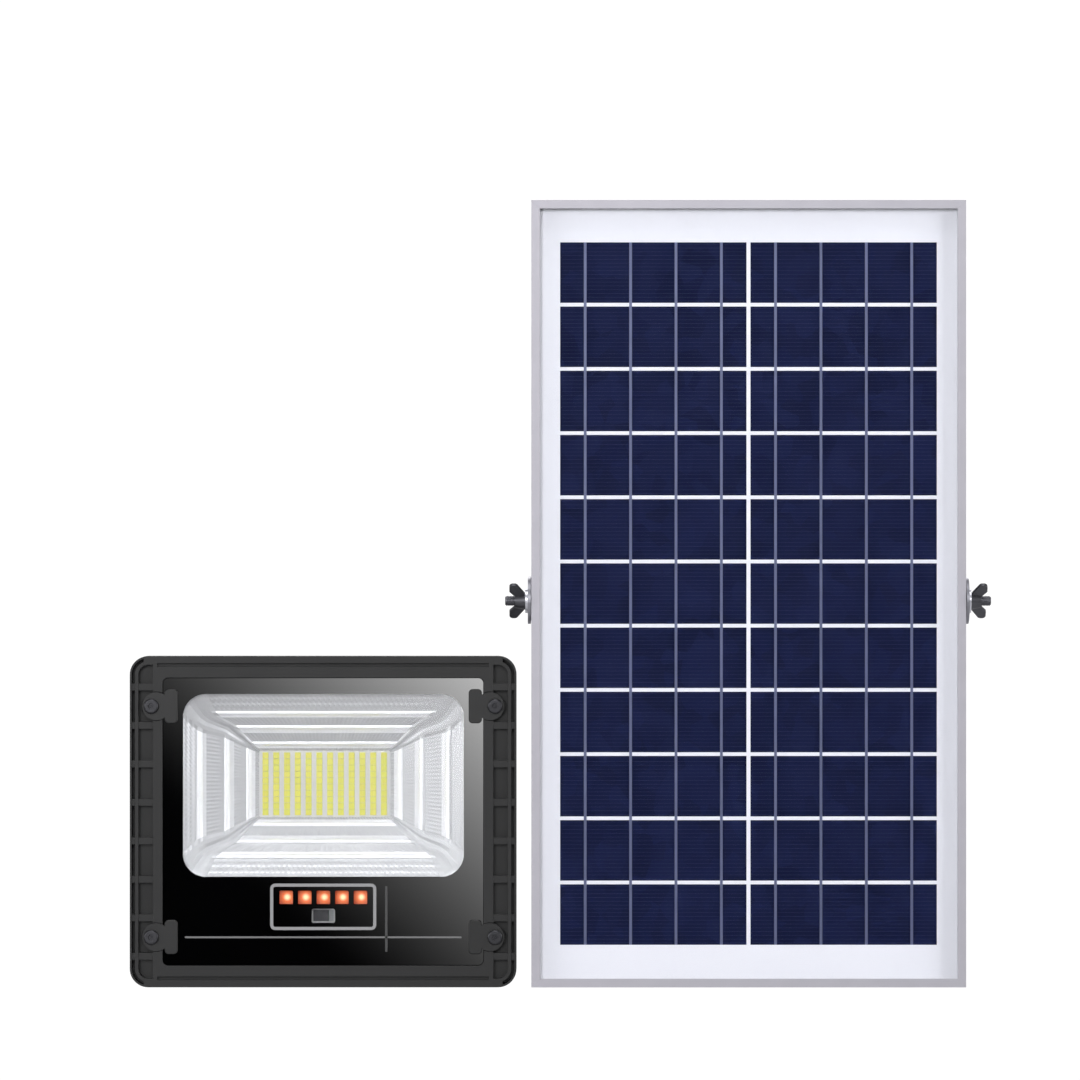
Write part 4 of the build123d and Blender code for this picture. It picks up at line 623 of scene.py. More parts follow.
def rounded_loop(width: float, height: float, corner: float, centre_x: float = 0.0,
                 centre_z: float = 0.0, steps: int = 8, side_steps: tuple[int, int] = (1, 1)
                 ) -> Loop:
    """Rounded rectangle as points in order.

    Args:
        width: Width along X.
        height: Height along Z.
        corner: Corner radius.
        centre_x: X of the middle.
        centre_z: Z of the middle.
        steps: Points round each corner.
        side_steps: Stretches along each straight side, level ones first.

    Returns:
        The points (x, z), once round, anticlockwise as seen from the front.
    """
    corner = max(corner, LEAST_CORNER)
    points: Loop = []
    middles = [(1, 1), (-1, 1), (-1, -1), (1, -1)]
    for turn, (side_x, side_z) in enumerate(middles):
        hub_x = centre_x + side_x * (width / 2 - corner)
        hub_z = centre_z + side_z * (height / 2 - corner)
        arc = [(hub_x + corner * math.cos(math.pi / 2 * (turn + k / steps)),
                hub_z + corner * math.sin(math.pi / 2 * (turn + k / steps)))
               for k in range(steps + 1)]
        points += arc
        next_x, next_z = middles[(turn + 1) % 4]
        start = arc[-1]
        angle = math.pi / 2 * (turn + 1)
        end = (centre_x + next_x * (width / 2 - corner) + corner * math.cos(angle),
               centre_z + next_z * (height / 2 - corner) + corner * math.sin(angle))
        count = side_steps[turn % 2]
        points += [(start[0] + (end[0] - start[0]) * k / count,
                    start[1] + (end[1] - start[1]) * k / count) for k in range(1, count)]
    return points


def flat_shape(name: str, loops: list[Loop], front_y: float, thickness: float) -> Object:
    """Flat plate seen from the front, its first loop the outline and the rest its holes.

    Args:
        name: Name of the piece.
        loops: Closed loops of (x, z) points.
        front_y: Y of the front face.
        thickness: Depth back from the front face.

    Returns:
        The finished object.
    """
    curve = bpy.data.curves.new(name, "CURVE")
    curve.dimensions = "2D"
    curve.fill_mode = "BOTH"
    curve.extrude = thickness / 2
    for loop in loops:
        spline = curve.splines.new("POLY")
        spline.points.add(len(loop) - 1)
        for point, (x, z) in zip(spline.points, loop):
            point.co = (x, z, 0, 1)
        spline.use_cyclic_u = True
    drawn = plain_object(name + "_outline", curve)
    mesh = evaluated_mesh(drawn)
    bpy.data.objects.remove(drawn)
    mesh.transform(Matrix.Translation((0, front_y + thickness / 2, 0)) @ UPRIGHT)
    mesh.name = name
    return plain_object(name, mesh)


def frame_loops(width: float, height: float, corner: float, line: float, centre_x: float,
                centre_z: float) -> list[Loop]:
    """Outline and hole of a thin rounded frame whose line is drawn inside its outer size.

    Args:
        width: Outer width.
        height: Outer height.
        corner: Outer corner radius.
        line: Width of the line.
        centre_x: X of the middle.
        centre_z: Z of the middle.

    Returns:
        The outline and the hole.
    """
    outer = rounded_loop(width, height, corner, centre_x, centre_z)
    inner = rounded_loop(width - 2 * line, height - 2 * line, corner - line, centre_x, centre_z)
    return [outer, inner]


def dress(piece: Object, finish: Finish) -> None:
    """Give a piece one finish all over.

    Args:
        piece: Piece or carried-over node.
        finish: What it is made of.
    """
    material = finish.build()
    if piece.material_slots:
        for own in piece.material_slots:
            own.material = material
    else:
        piece.data.materials.append(material)


def settle(piece: Object, body: Body, finish: Finish | None,
           stands_for: tuple[str, ...] = ()) -> Object:
    """Dress a finished piece and tell the frame what it rides on and stands for.

    Args:
        piece: Finished piece.
        body: Body that it rides on.
        finish: What it is made of, unless it is dressed already.
        stands_for: Carried-over nodes that it takes the place of.

    Returns:
        The piece.
    """
    if finish is not None:
        dress(piece, finish)
    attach(piece, body.value)
    if stands_for:
        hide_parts(*stands_for)
    LOG.info("piece %s rides on %s", piece.name, body.value)
    return piece


# Geometry Nodes --------------------------------------------


class Grower:
    """A Geometry Nodes tree with named size inputs, run once and turned into a plain mesh."""

    def __init__(self, name: str, sizes: dict[str, float | int]) -> None:
        """Start a tree.

        Args:
            name: Name of the piece that it will grow.
            sizes: Input name to value; whole numbers become integer inputs.
        """
        self.name = name
        self.sizes = sizes
        self.tree = bpy.data.node_groups.new(name, "GeometryNodeTree")
        for label, value in sizes.items():
            kind = "NodeSocketInt" if isinstance(value, int) else "NodeSocketFloat"
            self.tree.interface.new_socket(label, in_out="INPUT", socket_type=kind)
        self.tree.interface.new_socket("Geometry", in_out="OUTPUT",
                                       socket_type="NodeSocketGeometry")
        self.given = self.tree.nodes.new("NodeGroupInput")

    def size(self, label: str) -> NodeSocket:
        """The socket of a named input."""
        return self.given.outputs[label]

    def add(self, kind: str, inputs: dict | None = None, **settings: object) -> Node:
        """Add a node to the tree."""
        return add_node(self.tree, kind, inputs, **settings)

    def block(self, sides: tuple[str, str, str]) -> NodeSocket:
        """Plain block whose width, height and depth are named inputs.

        Args:
            sides: Labels of the three inputs.

        Returns:
            The block.
        """
        size = self.add("ShaderNodeCombineXYZ", dict(enumerate(map(self.size, sides))))
        return self.add("GeometryNodeMeshCube", {"Size": size.outputs[0]}).outputs[0]

    def spread(self, item: NodeSocket, **extra: NodeSocket) -> NodeSocket:
        """Repeat an item in Columns by Rows over Span X by Span Z.

        Args:
            item: Geometry to repeat.
            extra: Other inputs of each repeat, such as its Scale.

        Returns:
            All the repeats.
        """
        places = self.add("GeometryNodeMeshGrid", {
            "Size X": self.size("Span X"), "Size Y": self.size("Span Z"),
            "Vertices X": self.size("Columns"), "Vertices Y": self.size("Rows")})
        return self.add("GeometryNodeInstanceOnPoints", {
            "Points": places.outputs[0], "Instance": item, **extra}).outputs[0]

    def grow(self, grown: NodeSocket, finish: Finish, place: Matrix) -> Object:
        """End the tree, run it and return the plain piece at its place.

        Args:
            grown: Geometry to realise.
            finish: Finish of the whole piece.
            place: Transform from the tree's own frame to the shared frame.

        Returns:
            The piece, with no modifier left on it.
        """
        solid = self.add("GeometryNodeRealizeInstances", {"Geometry": grown})
        coated = self.add("GeometryNodeSetMaterial", {
            "Geometry": solid.outputs[0], "Material": finish.build()})
        output = self.tree.nodes.new("NodeGroupOutput")
        self.tree.links.new(coated.outputs[0], output.inputs["Geometry"])
        piece = plain_object(self.name, bpy.data.meshes.new(self.name))
        modifier = piece.modifiers.new("grow", "NODES")
        modifier.node_group = self.tree
        for item in self.tree.interface.items_tree:
            if item.item_type == "SOCKET" and item.in_out == "INPUT":
                modifier[item.identifier] = self.sizes[item.name]
        mesh = evaluated_mesh(piece)
        piece.modifiers.clear()
        mesh.transform(place)
        piece.data = mesh
        return piece


# Lamp ------------------------------------------------------


def light_row(lights: Box) -> tuple[float, float]:
    """Side and spacing of the square status lights that a box holds in a row."""
    size = lights.size[2]
    return size, (lights.size[0] - size) / (LIGHT_COUNT - 1)


@dataclass
class FrontGlass:
    """The lamp's front glass: a black printed border, a clear window and the printed lines."""

    window_width: float = 152.0 * MM
    window_height: float = 99.0 * MM
    window_corner: float = 12.5 * MM
    glass_corner: float = 2.7 * MM
    light_corner: float = 0.8 * MM    # corner radius of the clear square over a status light
    eye_corner: float = 1.2 * MM    # corner radius of the receiver and its opening
    line: float = 1.7 * MM
    frame_corner: float = 2.8 * MM
    frame_side: float = 9.8 * MM    # frame beyond the outer lights, both sides together
    frame_above: float = 3.9 * MM
    frame_below: float = 3.7 * MM
    rule_below: float = 3.9 * MM
    rule_short: float = 2.4 * MM    # how much shorter the rule is than the window
    rule_line: float = 1.0 * MM
    divider_line: float = 1.3 * MM
    divider_beside: float = 5.4 * MM
    divider_top: float = 1.4 * MM    # divider's top below the frame's
    divider_drop: float = 7.8 * MM    # divider's foot below the rule
    line_corner: float = 0.2 * MM    # corner radius of the rule's and the divider's ends
    ink: float = 0.04 * MM
    rim_line: float = 0.9 * MM
    rim_back: float = 0.3 * MM    # rim's front face before the glass's back
    rim_depth: float = 0.25 * MM
    # share of the receiver's width by which its smoked half passes the middle
    smoked_share: float = 0.22
    lens_gap: float = 0.2 * MM    # gap between the smoked and the frosted part
    lens_corner: float = 1.0 * MM

    def __post_init__(self) -> None:
        """Read the places of the glass and of what lies behind it."""
        self.glass = Box.of("lamp_glass")
        self.lights = Box.of("status_lights")
        self.eye = Box.of("light_receiver")
        self.front_y = self.glass.low[1]

    def build(self) -> None:
        """Build the border, the window, the ink lines and the receiver's lens."""
        width, depth, height = self.glass.size
        window = rounded_loop(self.window_width, self.window_height, self.window_corner, 0,
                              Box.of("reflector").middle[2], steps=10)
        holes = [window] + self.light_holes() + [self.eye_hole()]
        outline = rounded_loop(width, height, self.glass_corner, 0, self.glass.middle[2])
        border = flat_shape("glass_border", [outline] + holes, self.front_y, depth)
        settle(border, Body.LAMP, INKED_GLASS, ("lamp_glass",))
        for index, hole in enumerate(holes):
            pane = flat_shape(f"glass_pane_{index}", [hole], self.front_y, depth)
            settle(pane, Body.LAMP, FLOAT_GLASS)
        self.draw_lines()
        self.build_eye()

    def light_holes(self) -> list[Loop]:
        """The clear square over each status light.

        Returns:
            One loop for each light.
        """
        size, pitch = light_row(self.lights)
        middle_z = self.lights.middle[2]
        return [rounded_loop(size, size, self.light_corner, (k - LIGHT_COUNT // 2) * pitch,
                             middle_z, steps=4) for k in range(LIGHT_COUNT)]

    def eye_hole(self) -> Loop:
        """The clear opening over the remote control receiver."""
        width, _, height = self.eye.size
        return rounded_loop(width, height, self.eye_corner, 0, self.eye.middle[2], steps=4)

    def print_shape(self, name: str, loops: list[Loop], ink: float, finish: Finish) -> None:
        """Print one flat shape on the glass."""
        piece = flat_shape(name, loops, self.front_y - self.ink, ink)
        settle(piece, Body.LAMP, finish)

    def draw_lines(self) -> None:
        """Print the frame round the status lights, the rule and the divider."""
        top = self.lights.high[2] + self.frame_above
        foot = self.eye.low[2] - self.frame_below
        width = self.lights.size[0] + self.frame_side
        loops = frame_loops(width, top - foot, self.frame_corner, self.line, 0, (top + foot) / 2)
        self.print_shape("printed_frame", loops, self.ink, INK_LINE)
        rule_z = foot - self.rule_below
        rule = rounded_loop(self.window_width - self.rule_short, self.rule_line,
                            self.line_corner, 0, rule_z, steps=2)
        self.print_shape("printed_rule", [rule], self.ink, SOFT_INK_LINE)
        upper, lower = top - self.divider_top, rule_z - self.divider_drop
        divider = rounded_loop(self.divider_line, upper - lower, self.line_corner,
                               width / 2 + self.divider_beside, (upper + lower) / 2, steps=2)
        self.print_shape("printed_divider", [divider], self.ink / 2, DIM_INK_LINE)

    def build_eye(self) -> None:
        """Receiver lens: smoked on the left, frosted on the right, in a pale printed rim."""
        width, depth, height = self.eye.size
        middle_z = self.eye.middle[2]
        loops = frame_loops(width, height, self.eye_corner, self.rim_line, 0, middle_z)
        rim = flat_shape("receiver_rim", loops, self.glass.high[1] - self.rim_back, self.rim_depth)
        settle(rim, Body.LAMP, INK_LINE)
        split = width * self.smoked_share
        parts = (
            ("receiver_lens", width / 2 + split, (split - width / 2) / 2, SMOKED_LENS,
             ("light_receiver",)),
            ("receiver_window", width / 2 - split - self.lens_gap,
             (split + self.lens_gap + width / 2) / 2, PALE_LENS, ()))
        for name, part_width, centre_x, finish, stands_for in parts:
            loop = rounded_loop(part_width, height, self.lens_corner, centre_x, middle_z, steps=4)
            lens = flat_shape(name, [loop], self.eye.low[1], depth)
            settle(lens, Body.LAMP, finish, stands_for)


@dataclass(frozen=True)
class Ridge:
    """A rounded bead that runs round the reflector."""

    side_share: float    # share of the way in at which it lies on the two upright sides
    level_share: float    # the same for the top and bottom sides
    width: float    # its width as a share of the way in
    height: float    # how far it stands out of the slope


class Surface(Enum):
    """Fine shape of one ring of the reflector, as the rise of its wave in millimetres."""

    PLAIN = 0.0
    FLUTED = 0.12
    PILLOW = 0.16
    PILLOW_OPPOSITE = -0.16
    TOOTHED = 0.3


@dataclass(frozen=True)
class Ring:
    """One ring of points of the reflector."""

    side: float    # share of the way in on the two upright sides
    level: float    # share of the way in on the top and bottom sides
    rise: float = 0.0    # how far it stands out of the slope
    surface: Surface = Surface.PLAIN    # its fine shape


@dataclass
class Reflector:
    """The stepped silver bowl round the light emitting diodes."""

    window: Triple = (153.6 * MM, 100.6 * MM, 13.2 * MM)    # width, height and corner of its mouth
    opening: Triple = (71.6 * MM, 36.2 * MM, 1.2 * MM)    # width, height and corner of its foot
    # from the mouth inwards
    ridges: tuple[Ridge, ...] = (Ridge(0.23, 0.36, 0.085, 0.9 * MM),
                                 Ridge(0.585, 0.605, 0.08, 0.8 * MM),
                                 Ridge(0.87, 0.885, 0.07, 0.6 * MM))
    # fine shapes of each slope's rings, which repeat down the slope
    slope_surfaces: tuple[tuple[Surface, ...], ...] = (
        (Surface.PILLOW, Surface.PILLOW, Surface.PILLOW_OPPOSITE, Surface.PILLOW_OPPOSITE),
        (Surface.FLUTED,), (Surface.FLUTED,), (Surface.TOOTHED,))
    slope_rings: tuple[int, ...] = (12, 6, 4, 2)
    corner_steps: int = 7    # facets round each corner
    # stretches along the level and upright sides, four to a flute
    side_steps: tuple[int, int] = (176, 104)
    bead_steps: int = 6
    sheet: float = 0.8 * MM    # wall thickness
    crease: float = 9.0    # least angle, in degrees, that shows as an edge
    mitre: float = 0.65 * MM    # rise of the strips that run down each corner
    mitre_steps: tuple[int, ...] = (1, 2)    # which steps of every four round a corner carry a strip
    bend_share: float = 0.05    # share of a corner's radius past which a point counts as on the bend

    def rings(self) -> list[Ring]:
        """All rings from the mouth to the foot: slopes and, between them, beads.

        Returns:
            The rings in order.
        """
        stops = [(0.0, 0.0)]
        for ridge in self.ridges:
            stops += [(ridge.side_share + side * ridge.width / 2,
                       ridge.level_share + side * ridge.width / 2) for side in (-1, 1)]
        stops.append((1.0, 1.0))
        rings = [Ring(0.0, 0.0)]
        for number, count in enumerate(self.slope_rings):
            (side_a, level_a), (side_b, level_b) = stops[2 * number], stops[2 * number + 1]
            surfaces = self.slope_surfaces[number]
            beads = self.ridges[number:number + 1]
            for k in range(1, count + 1):
                share = k / count
                surface = surfaces[k % len(surfaces)]
                if k == count and beads:
                    surface = Surface.PLAIN
                rings.append(Ring(side_a + (side_b - side_a) * share,
                                  level_a + (level_b - level_a) * share, 0.0, surface))
            for ridge in beads:
                for k in range(1, self.bead_steps + 1):
                    share = k / self.bead_steps
                    rings.append(Ring(side_b + ridge.width * share, level_b + ridge.width * share,
                                      ridge.height * math.sin(math.pi * share)))
        return rings

    def build(self) -> None:
        """Build the bowl ring by ring and its flat border."""
        box = Box.of("reflector")
        width, _, height = box.size
        rings = self.rings()
        border = (width, height, self.window[2])
        vertices, bends = self.ring_points(box, border, 0.0, Ring(0.0, 0.0))
        for ring in rings:
            share = (ring.side + ring.level) / 2
            size = tuple(mouth + (foot - mouth) * way for mouth, foot, way in zip(
                self.window, self.opening, (ring.side, ring.level, share)))
            points, bent = self.ring_points(box, size, share, ring)
            vertices += points
            bends += bent
        count = len(vertices) // (len(rings) + 1)
        faces = [(row * count + i, row * count + (i + 1) % count,
                  (row + 1) * count + (i + 1) % count, (row + 1) * count + i)
                 for row in range(len(rings)) for i in range(count)]
        rises = [0.0] + [ring.rise for ring in rings]
        in_bead = [max(pair) > 0.0 for pair in zip(rises, rises[1:]) for _ in range(count)]
        # bead faces off the corners' bends take the paler film: a painted highlight along each ridge
        painted_highlight_faces = [bead and not any(bends[index] for index in face)
                 for bead, face in zip(in_bead, faces)]
        for name, finish, wanted in (("reflector_bowl", SILVER_FILM, False),
                                     ("reflector_beads", PAINTED_HIGHLIGHT_BEAD, True)):
            self.build_sheet(name, vertices, [face for face, bead in zip(faces, painted_highlight_faces)
                                              if bead == wanted], finish)

    def ring_points(self, box: Box, size: Triple, share: float, ring: Ring
                    ) -> tuple[list[Vector], list[bool]]:
        """Points of one ring, none of them in front of the bowl's box.

        Args:
            box: Space of the whole bowl.
            size: Width, height and corner radius of the ring.
            share: Share of the way back.
            ring: What rises out of the slope.

        Returns:
            The points, and for each whether it lies on the bend of a corner.
        """
        points, bends = [], []
        front_y, middle_z = box.low[1], box.middle[2]
        y = front_y + box.size[1] * share
        loop = rounded_loop(*size, 0, middle_z, self.corner_steps, self.side_steps)
        for index, (x, z) in enumerate(loop):
            wave = ring.surface.value * MM * (1 - math.cos(math.pi / 2 * index)) / 2
            rise = ring.rise + wave
            step = self.corner_step(x, z - middle_z, *size)
            if step > 0:
                rise = self.mitre if step % 4 in self.mitre_steps else 0.0
            bends.append(step > 0)
            points.append(Vector((x, max(front_y, y - rise), z)))
        return points, bends

    def corner_step(self, x: float, z: float, width: float, height: float, corner: float) -> int:
        """Number of a point along the bend of its corner, or 0 on the straight sides.

        Args:
            x: Place across, from the ring's middle.
            z: Place up, from the ring's middle.
            width: Width of the ring.
            height: Height of the ring.
            corner: Radius of its corners.

        Returns:
            The number, counted from the upright side.
        """
        across, upward = abs(x) - width / 2 + corner, abs(z) - height / 2 + corner
        if min(across, upward) < corner * self.bend_share:
            return 0
        return round(math.atan2(upward, across) / (math.pi / 2) * self.corner_steps)

    def build_sheet(self, name: str, vertices: list[Vector], faces: list[tuple[int, ...]],
                    finish: Finish) -> None:
        """Build one part of the bowl's skin and give it the wall's thickness.

        Args:
            name: Name of the piece.
            vertices: All points of the bowl.
            faces: The faces that belong to this part.
            finish: What it is made of.
        """
        used = sorted({index for face in faces for index in face})
        place = {index: number for number, index in enumerate(used)}
        own = [tuple(place[index] for index in face) for face in faces]
        sheet = plain_object(name, mesh_from(name, [vertices[index] for index in used], own))
        turn_to_front(sheet.data)
        shell = sheet.modifiers.new("wall", "SOLIDIFY")
        shell.thickness = self.sheet
        shell.offset = -1.0
        mesh = evaluated_mesh(sheet)
        sheet.modifiers.clear()
        sheet.data = mesh
        shade_by_angle(sheet, self.crease)
        settle(sheet, Body.LAMP, finish, ("reflector",))


def turn_to_front(mesh: Mesh) -> None:
    """Turn an open sheet so that its faces look towards the front."""
    if sum(face.normal.y * face.area for face in mesh.polygons) > 0:
        mesh.flip_normals()


def shade_by_angle(piece: Object, degrees: float) -> None:
    """Smooth shading that keeps edges sharper than an angle crisp."""
    piece.data.shade_smooth()
    piece.data.set_sharp_from_angle(angle=math.radians(degrees))


@dataclass
class DiodeField:
    """Grid of yellow light emitting diodes."""

    columns: int = 12
    rows: int = 10
    width: float = 3.3 * MM
    height: float = 3.28 * MM
    seed: int = 7    # seed of the packages' slight differences in size
    # smallest share of its size that a package has, across, up and in depth
    least: Triple = (0.97, 0.985, 1.0)

    def build(self) -> None:
        """Grow the grid of packages over the light board."""
        box = Box.of("led_packages")
        grower = Grower("diode_grid", {
            "Columns": self.columns, "Rows": self.rows, "Span X": box.size[0] - self.width,
            "Span Z": box.size[2] - self.height, "Width": self.width, "Height": self.height,
            "Depth": box.size[1]})
        package = grower.block(("Width", "Height", "Depth"))
        wobble = grower.add("FunctionNodeRandomValue", {
            "Seed": self.seed, "Min": self.least, "Max": (1.0, 1.0, 1.0)}, data_type="FLOAT_VECTOR")
        field = grower.spread(package, Scale=wobble.outputs[0])
        place = Matrix.Translation(box.middle) @ UPRIGHT
        settle(grower.grow(field, PHOSPHOR, place), Body.LAMP, None,
               ("led_packages",))


@dataclass
class Thread:
    """A screw thread wound round a shank."""

    name: str
    start: Vector    # where the thread begins
    end: Vector    # where it ends, along X
    radius: float = 2.5 * MM    # outer radius of the shank
    pitch: float = 0.8 * MM    # advance of one turn
    ridge_share: float = 0.34    # radius of the wound ridge as a share of the pitch
    steps: int = 28    # points on each turn
    ridge_sides: int = 5    # sides of the ridge's section

    def build(self, body: Body, slot: str, finish: Finish) -> None:
        """Grow the thread as a fine ridge along a helix.

        Args:
            body: Body that it rides on.
            slot: Material slot of the shank; not used.
            finish: Finish of the shank.
        """
        length = (self.end - self.start).length
        grower = Grower(self.name, {
            "Turns": length / self.pitch, "Radius": self.radius, "Length": length,
            "Ridge": self.pitch * self.ridge_share, "Steps": self.steps,
            "Ridge Sides": self.ridge_sides})
        helix = grower.add("GeometryNodeCurveSpiral", {
            "Resolution": grower.size("Steps"), "Rotations": grower.size("Turns"),
            "Start Radius": grower.size("Radius"), "End Radius": grower.size("Radius"),
            "Height": grower.size("Length")})
        ridge = grower.add("GeometryNodeCurvePrimitiveCircle", {
            "Resolution": grower.size("Ridge Sides"), "Radius": grower.size("Ridge")})
        swept = grower.add("GeometryNodeCurveToMesh", {
            "Curve": helix.outputs[0], "Profile Curve": ridge.outputs[0], "Fill Caps": True})
        turn = (self.end - self.start).to_track_quat("Z", "Y").to_matrix().to_4x4()
        piece = grower.grow(swept.outputs[0], finish, Matrix.Translation(self.start) @ turn)
        settle(piece, body, None)


# Panel -----------------------------------------------------


@dataclass
class CellField:
    """The printed silver fingers of the solar cells."""

    columns: int = 2
    rows: int = 11
    fingers: int = 16    # fingers on each cell
    # width of a finger, drawn wider than the real 0.05 mm so that it shows
    finger_width: float = 0.11 * MM
    column_gap: float = 2.2 * MM
    row_gap: float = 2.0 * MM
    bare_side: float = 1.6 * MM    # bare silicon beside the fingers, both sides together
    paste: float = 0.04 * MM

    def build(self) -> None:
        """Grow a comb of fingers on every cell."""
        box = Box.of("solar_cells")
        width = (box.size[0] - (self.columns - 1) * self.column_gap) / self.columns
        height = (box.size[2] - (self.rows - 1) * self.row_gap) / self.rows
        grower = Grower("cell_fingers", {
            "Columns": self.columns, "Rows": self.rows, "Fingers": self.fingers,
            "Span X": box.size[0] - width, "Span Z": box.size[2] - height,
            "Cell Width": width - self.bare_side, "Comb Height": height * (1 - 1 / self.fingers),
            "Finger": self.finger_width, "Paste": self.paste})
        gaps = grower.add("ShaderNodeMath", {0: grower.size("Fingers"), 1: 1.0},
                          operation="SUBTRACT")
        step = grower.add("ShaderNodeMath", {0: grower.size("Comb Height"), 1: gaps.outputs[0]},
                          operation="DIVIDE")
        start = grower.add("ShaderNodeMath", {0: grower.size("Comb Height"), 1: -0.5},
                           operation="MULTIPLY")
        first, onward = (grower.add("ShaderNodeCombineXYZ", {"Y": way.outputs[0]})
                         for way in (start, step))
        comb = grower.add("GeometryNodeMeshLine", {
            "Count": grower.size("Fingers"), "Start Location": first.outputs[0],
            "Offset": onward.outputs[0]})
        one_cell = grower.add("GeometryNodeInstanceOnPoints", {
            "Points": comb.outputs[0],
            "Instance": grower.block(("Cell Width", "Finger", "Paste"))})
        middle_x, _, middle_z = box.middle
        centre = (middle_x, box.low[1] - self.paste / 2, middle_z)
        field = grower.grow(grower.spread(one_cell.outputs[0]), SILVER_PASTE,
                            Matrix.Translation(centre) @ UPRIGHT)
        settle(field, Body.PANEL, None)


# Carried-over nodes ----------------------------------------


# Nodes of each finish; mouldings that are named nowhere here are black nylon
FINISH_NODES: tuple[tuple[Finish, str], ...] = (
    (CAST_COAT, "lamp_housing battery_cover"),
    (STRAP_COAT, "glass_clips lamp_bracket"),
    (BLACK_ZINC, "clip_screws cover_screws"),
    (BRIGHT_ZINC, "led_board_screws controller_screws battery_holder_screws board_spacers "
                  "junction_screws lamp_pivot_bolts lamp_pivot_washers panel_pivot_washers "
                  "battery_contacts"),
    (WORN_ZINC, "panel_pivot_bolts"),
    (STRAP_ZINC, "panel_bracket"),
    (DARK_ZINC, "wing_nut_left wing_nut_right"),
    (ANODISED_UPRIGHT, "frame_side_rails"),
    (ANODISED_LEVEL, "frame_end_rails frame_corner_keys"),
    (FLOAT_GLASS, "panel_glass"),
    (WAFER, "solar_cells"),
    (TINNED_RIBBON, "cell_ribbons"),
    (WHITE_FILM, "encapsulant backsheet"),
    (SEAL_RUBBER, "glass_gasket cover_gasket junction_gasket lamp_gland_seal "
                  "junction_gland_seal"),
    (PALE_SEAL, "panel_seal"),
    (WHITE_RESIST, "led_board"),
    (GREEN_BOARD, "status_board controller_board junction_board"),
    (RED_CAP, "power_button"),
    (BLUE_SLEEVE, "battery_cells"),
    (FOAM, "battery_pads"),
)


def status_glow() -> StatusGlow:
    """Glow whose hot spots stand a little right of the middle of each status light.

    Returns:
        The finish of the status lights.
    """
    lights = Box.of("status_lights")
    size, pitch = light_row(lights)
    beside, reach_share = 0.5 * MM, 0.62
    return StatusGlow("diffused_orange_diode", "#8a3a1c", "#8a3a1c", 0.35, pitch=pitch,
                      centre_x=lights.middle[0] + beside, centre_z=lights.middle[2],
                      reach=size * reach_share)


def dress_carried_nodes() -> None:
    """Give every carried-over node its finish."""
    finishes = {name: finish for finish, names in FINISH_NODES for name in names.split()}
    finishes["status_lights"] = status_glow()
    for name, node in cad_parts.items():
        finish = finishes.get(name, BLACK_NYLON)
        dress(node, finish)
        LOG.info("node %s is %s", name, finish.name)


def bolt_threads() -> list[Thread]:
    """Threads on the free ends of the panel's two pivot bolts.

    Returns:
        The right and the left thread.
    """
    past_nut, chamfer = 5.8 * MM, 0.6 * MM    # from the nut's inner face, from the bolt's end
    bolts, nut = Box.of("panel_pivot_bolts"), Box.of("wing_nut_right")
    _, y, z = nut.middle
    places = (("right", nut.low[0] + past_nut, bolts.high[0] - chamfer),
              ("left", Box.of("wing_nut_left").high[0] - past_nut, bolts.low[0] + chamfer))
    return [Thread(f"bolt_thread_{side}", Vector((start, y, z)), Vector((end, y, z)))
            for side, start, end in places]


# Studio ----------------------------------------------------


@dataclass(frozen=True)
class Softbox:
    """Square soft lamp that faces the object's middle."""

    name: str
    place: Triple
    size: float    # side of its square
    power: float    # power in watts

    def light(self, target: Vector) -> None:
        """Hang the lamp and aim it at the target.

        Args:
            target: Point that it faces.
        """
        data = bpy.data.lights.new(self.name, "AREA")
        data.shape = "SQUARE"
        data.size = self.size
        data.energy = self.power
        lamp = bpy.data.objects.new(self.name, data)
        lamp.location = self.place
        lamp.rotation_euler = (target - Vector(self.place)).to_track_quat("-Z", "Y").to_euler()
        bpy.context.scene.collection.objects.link(lamp)


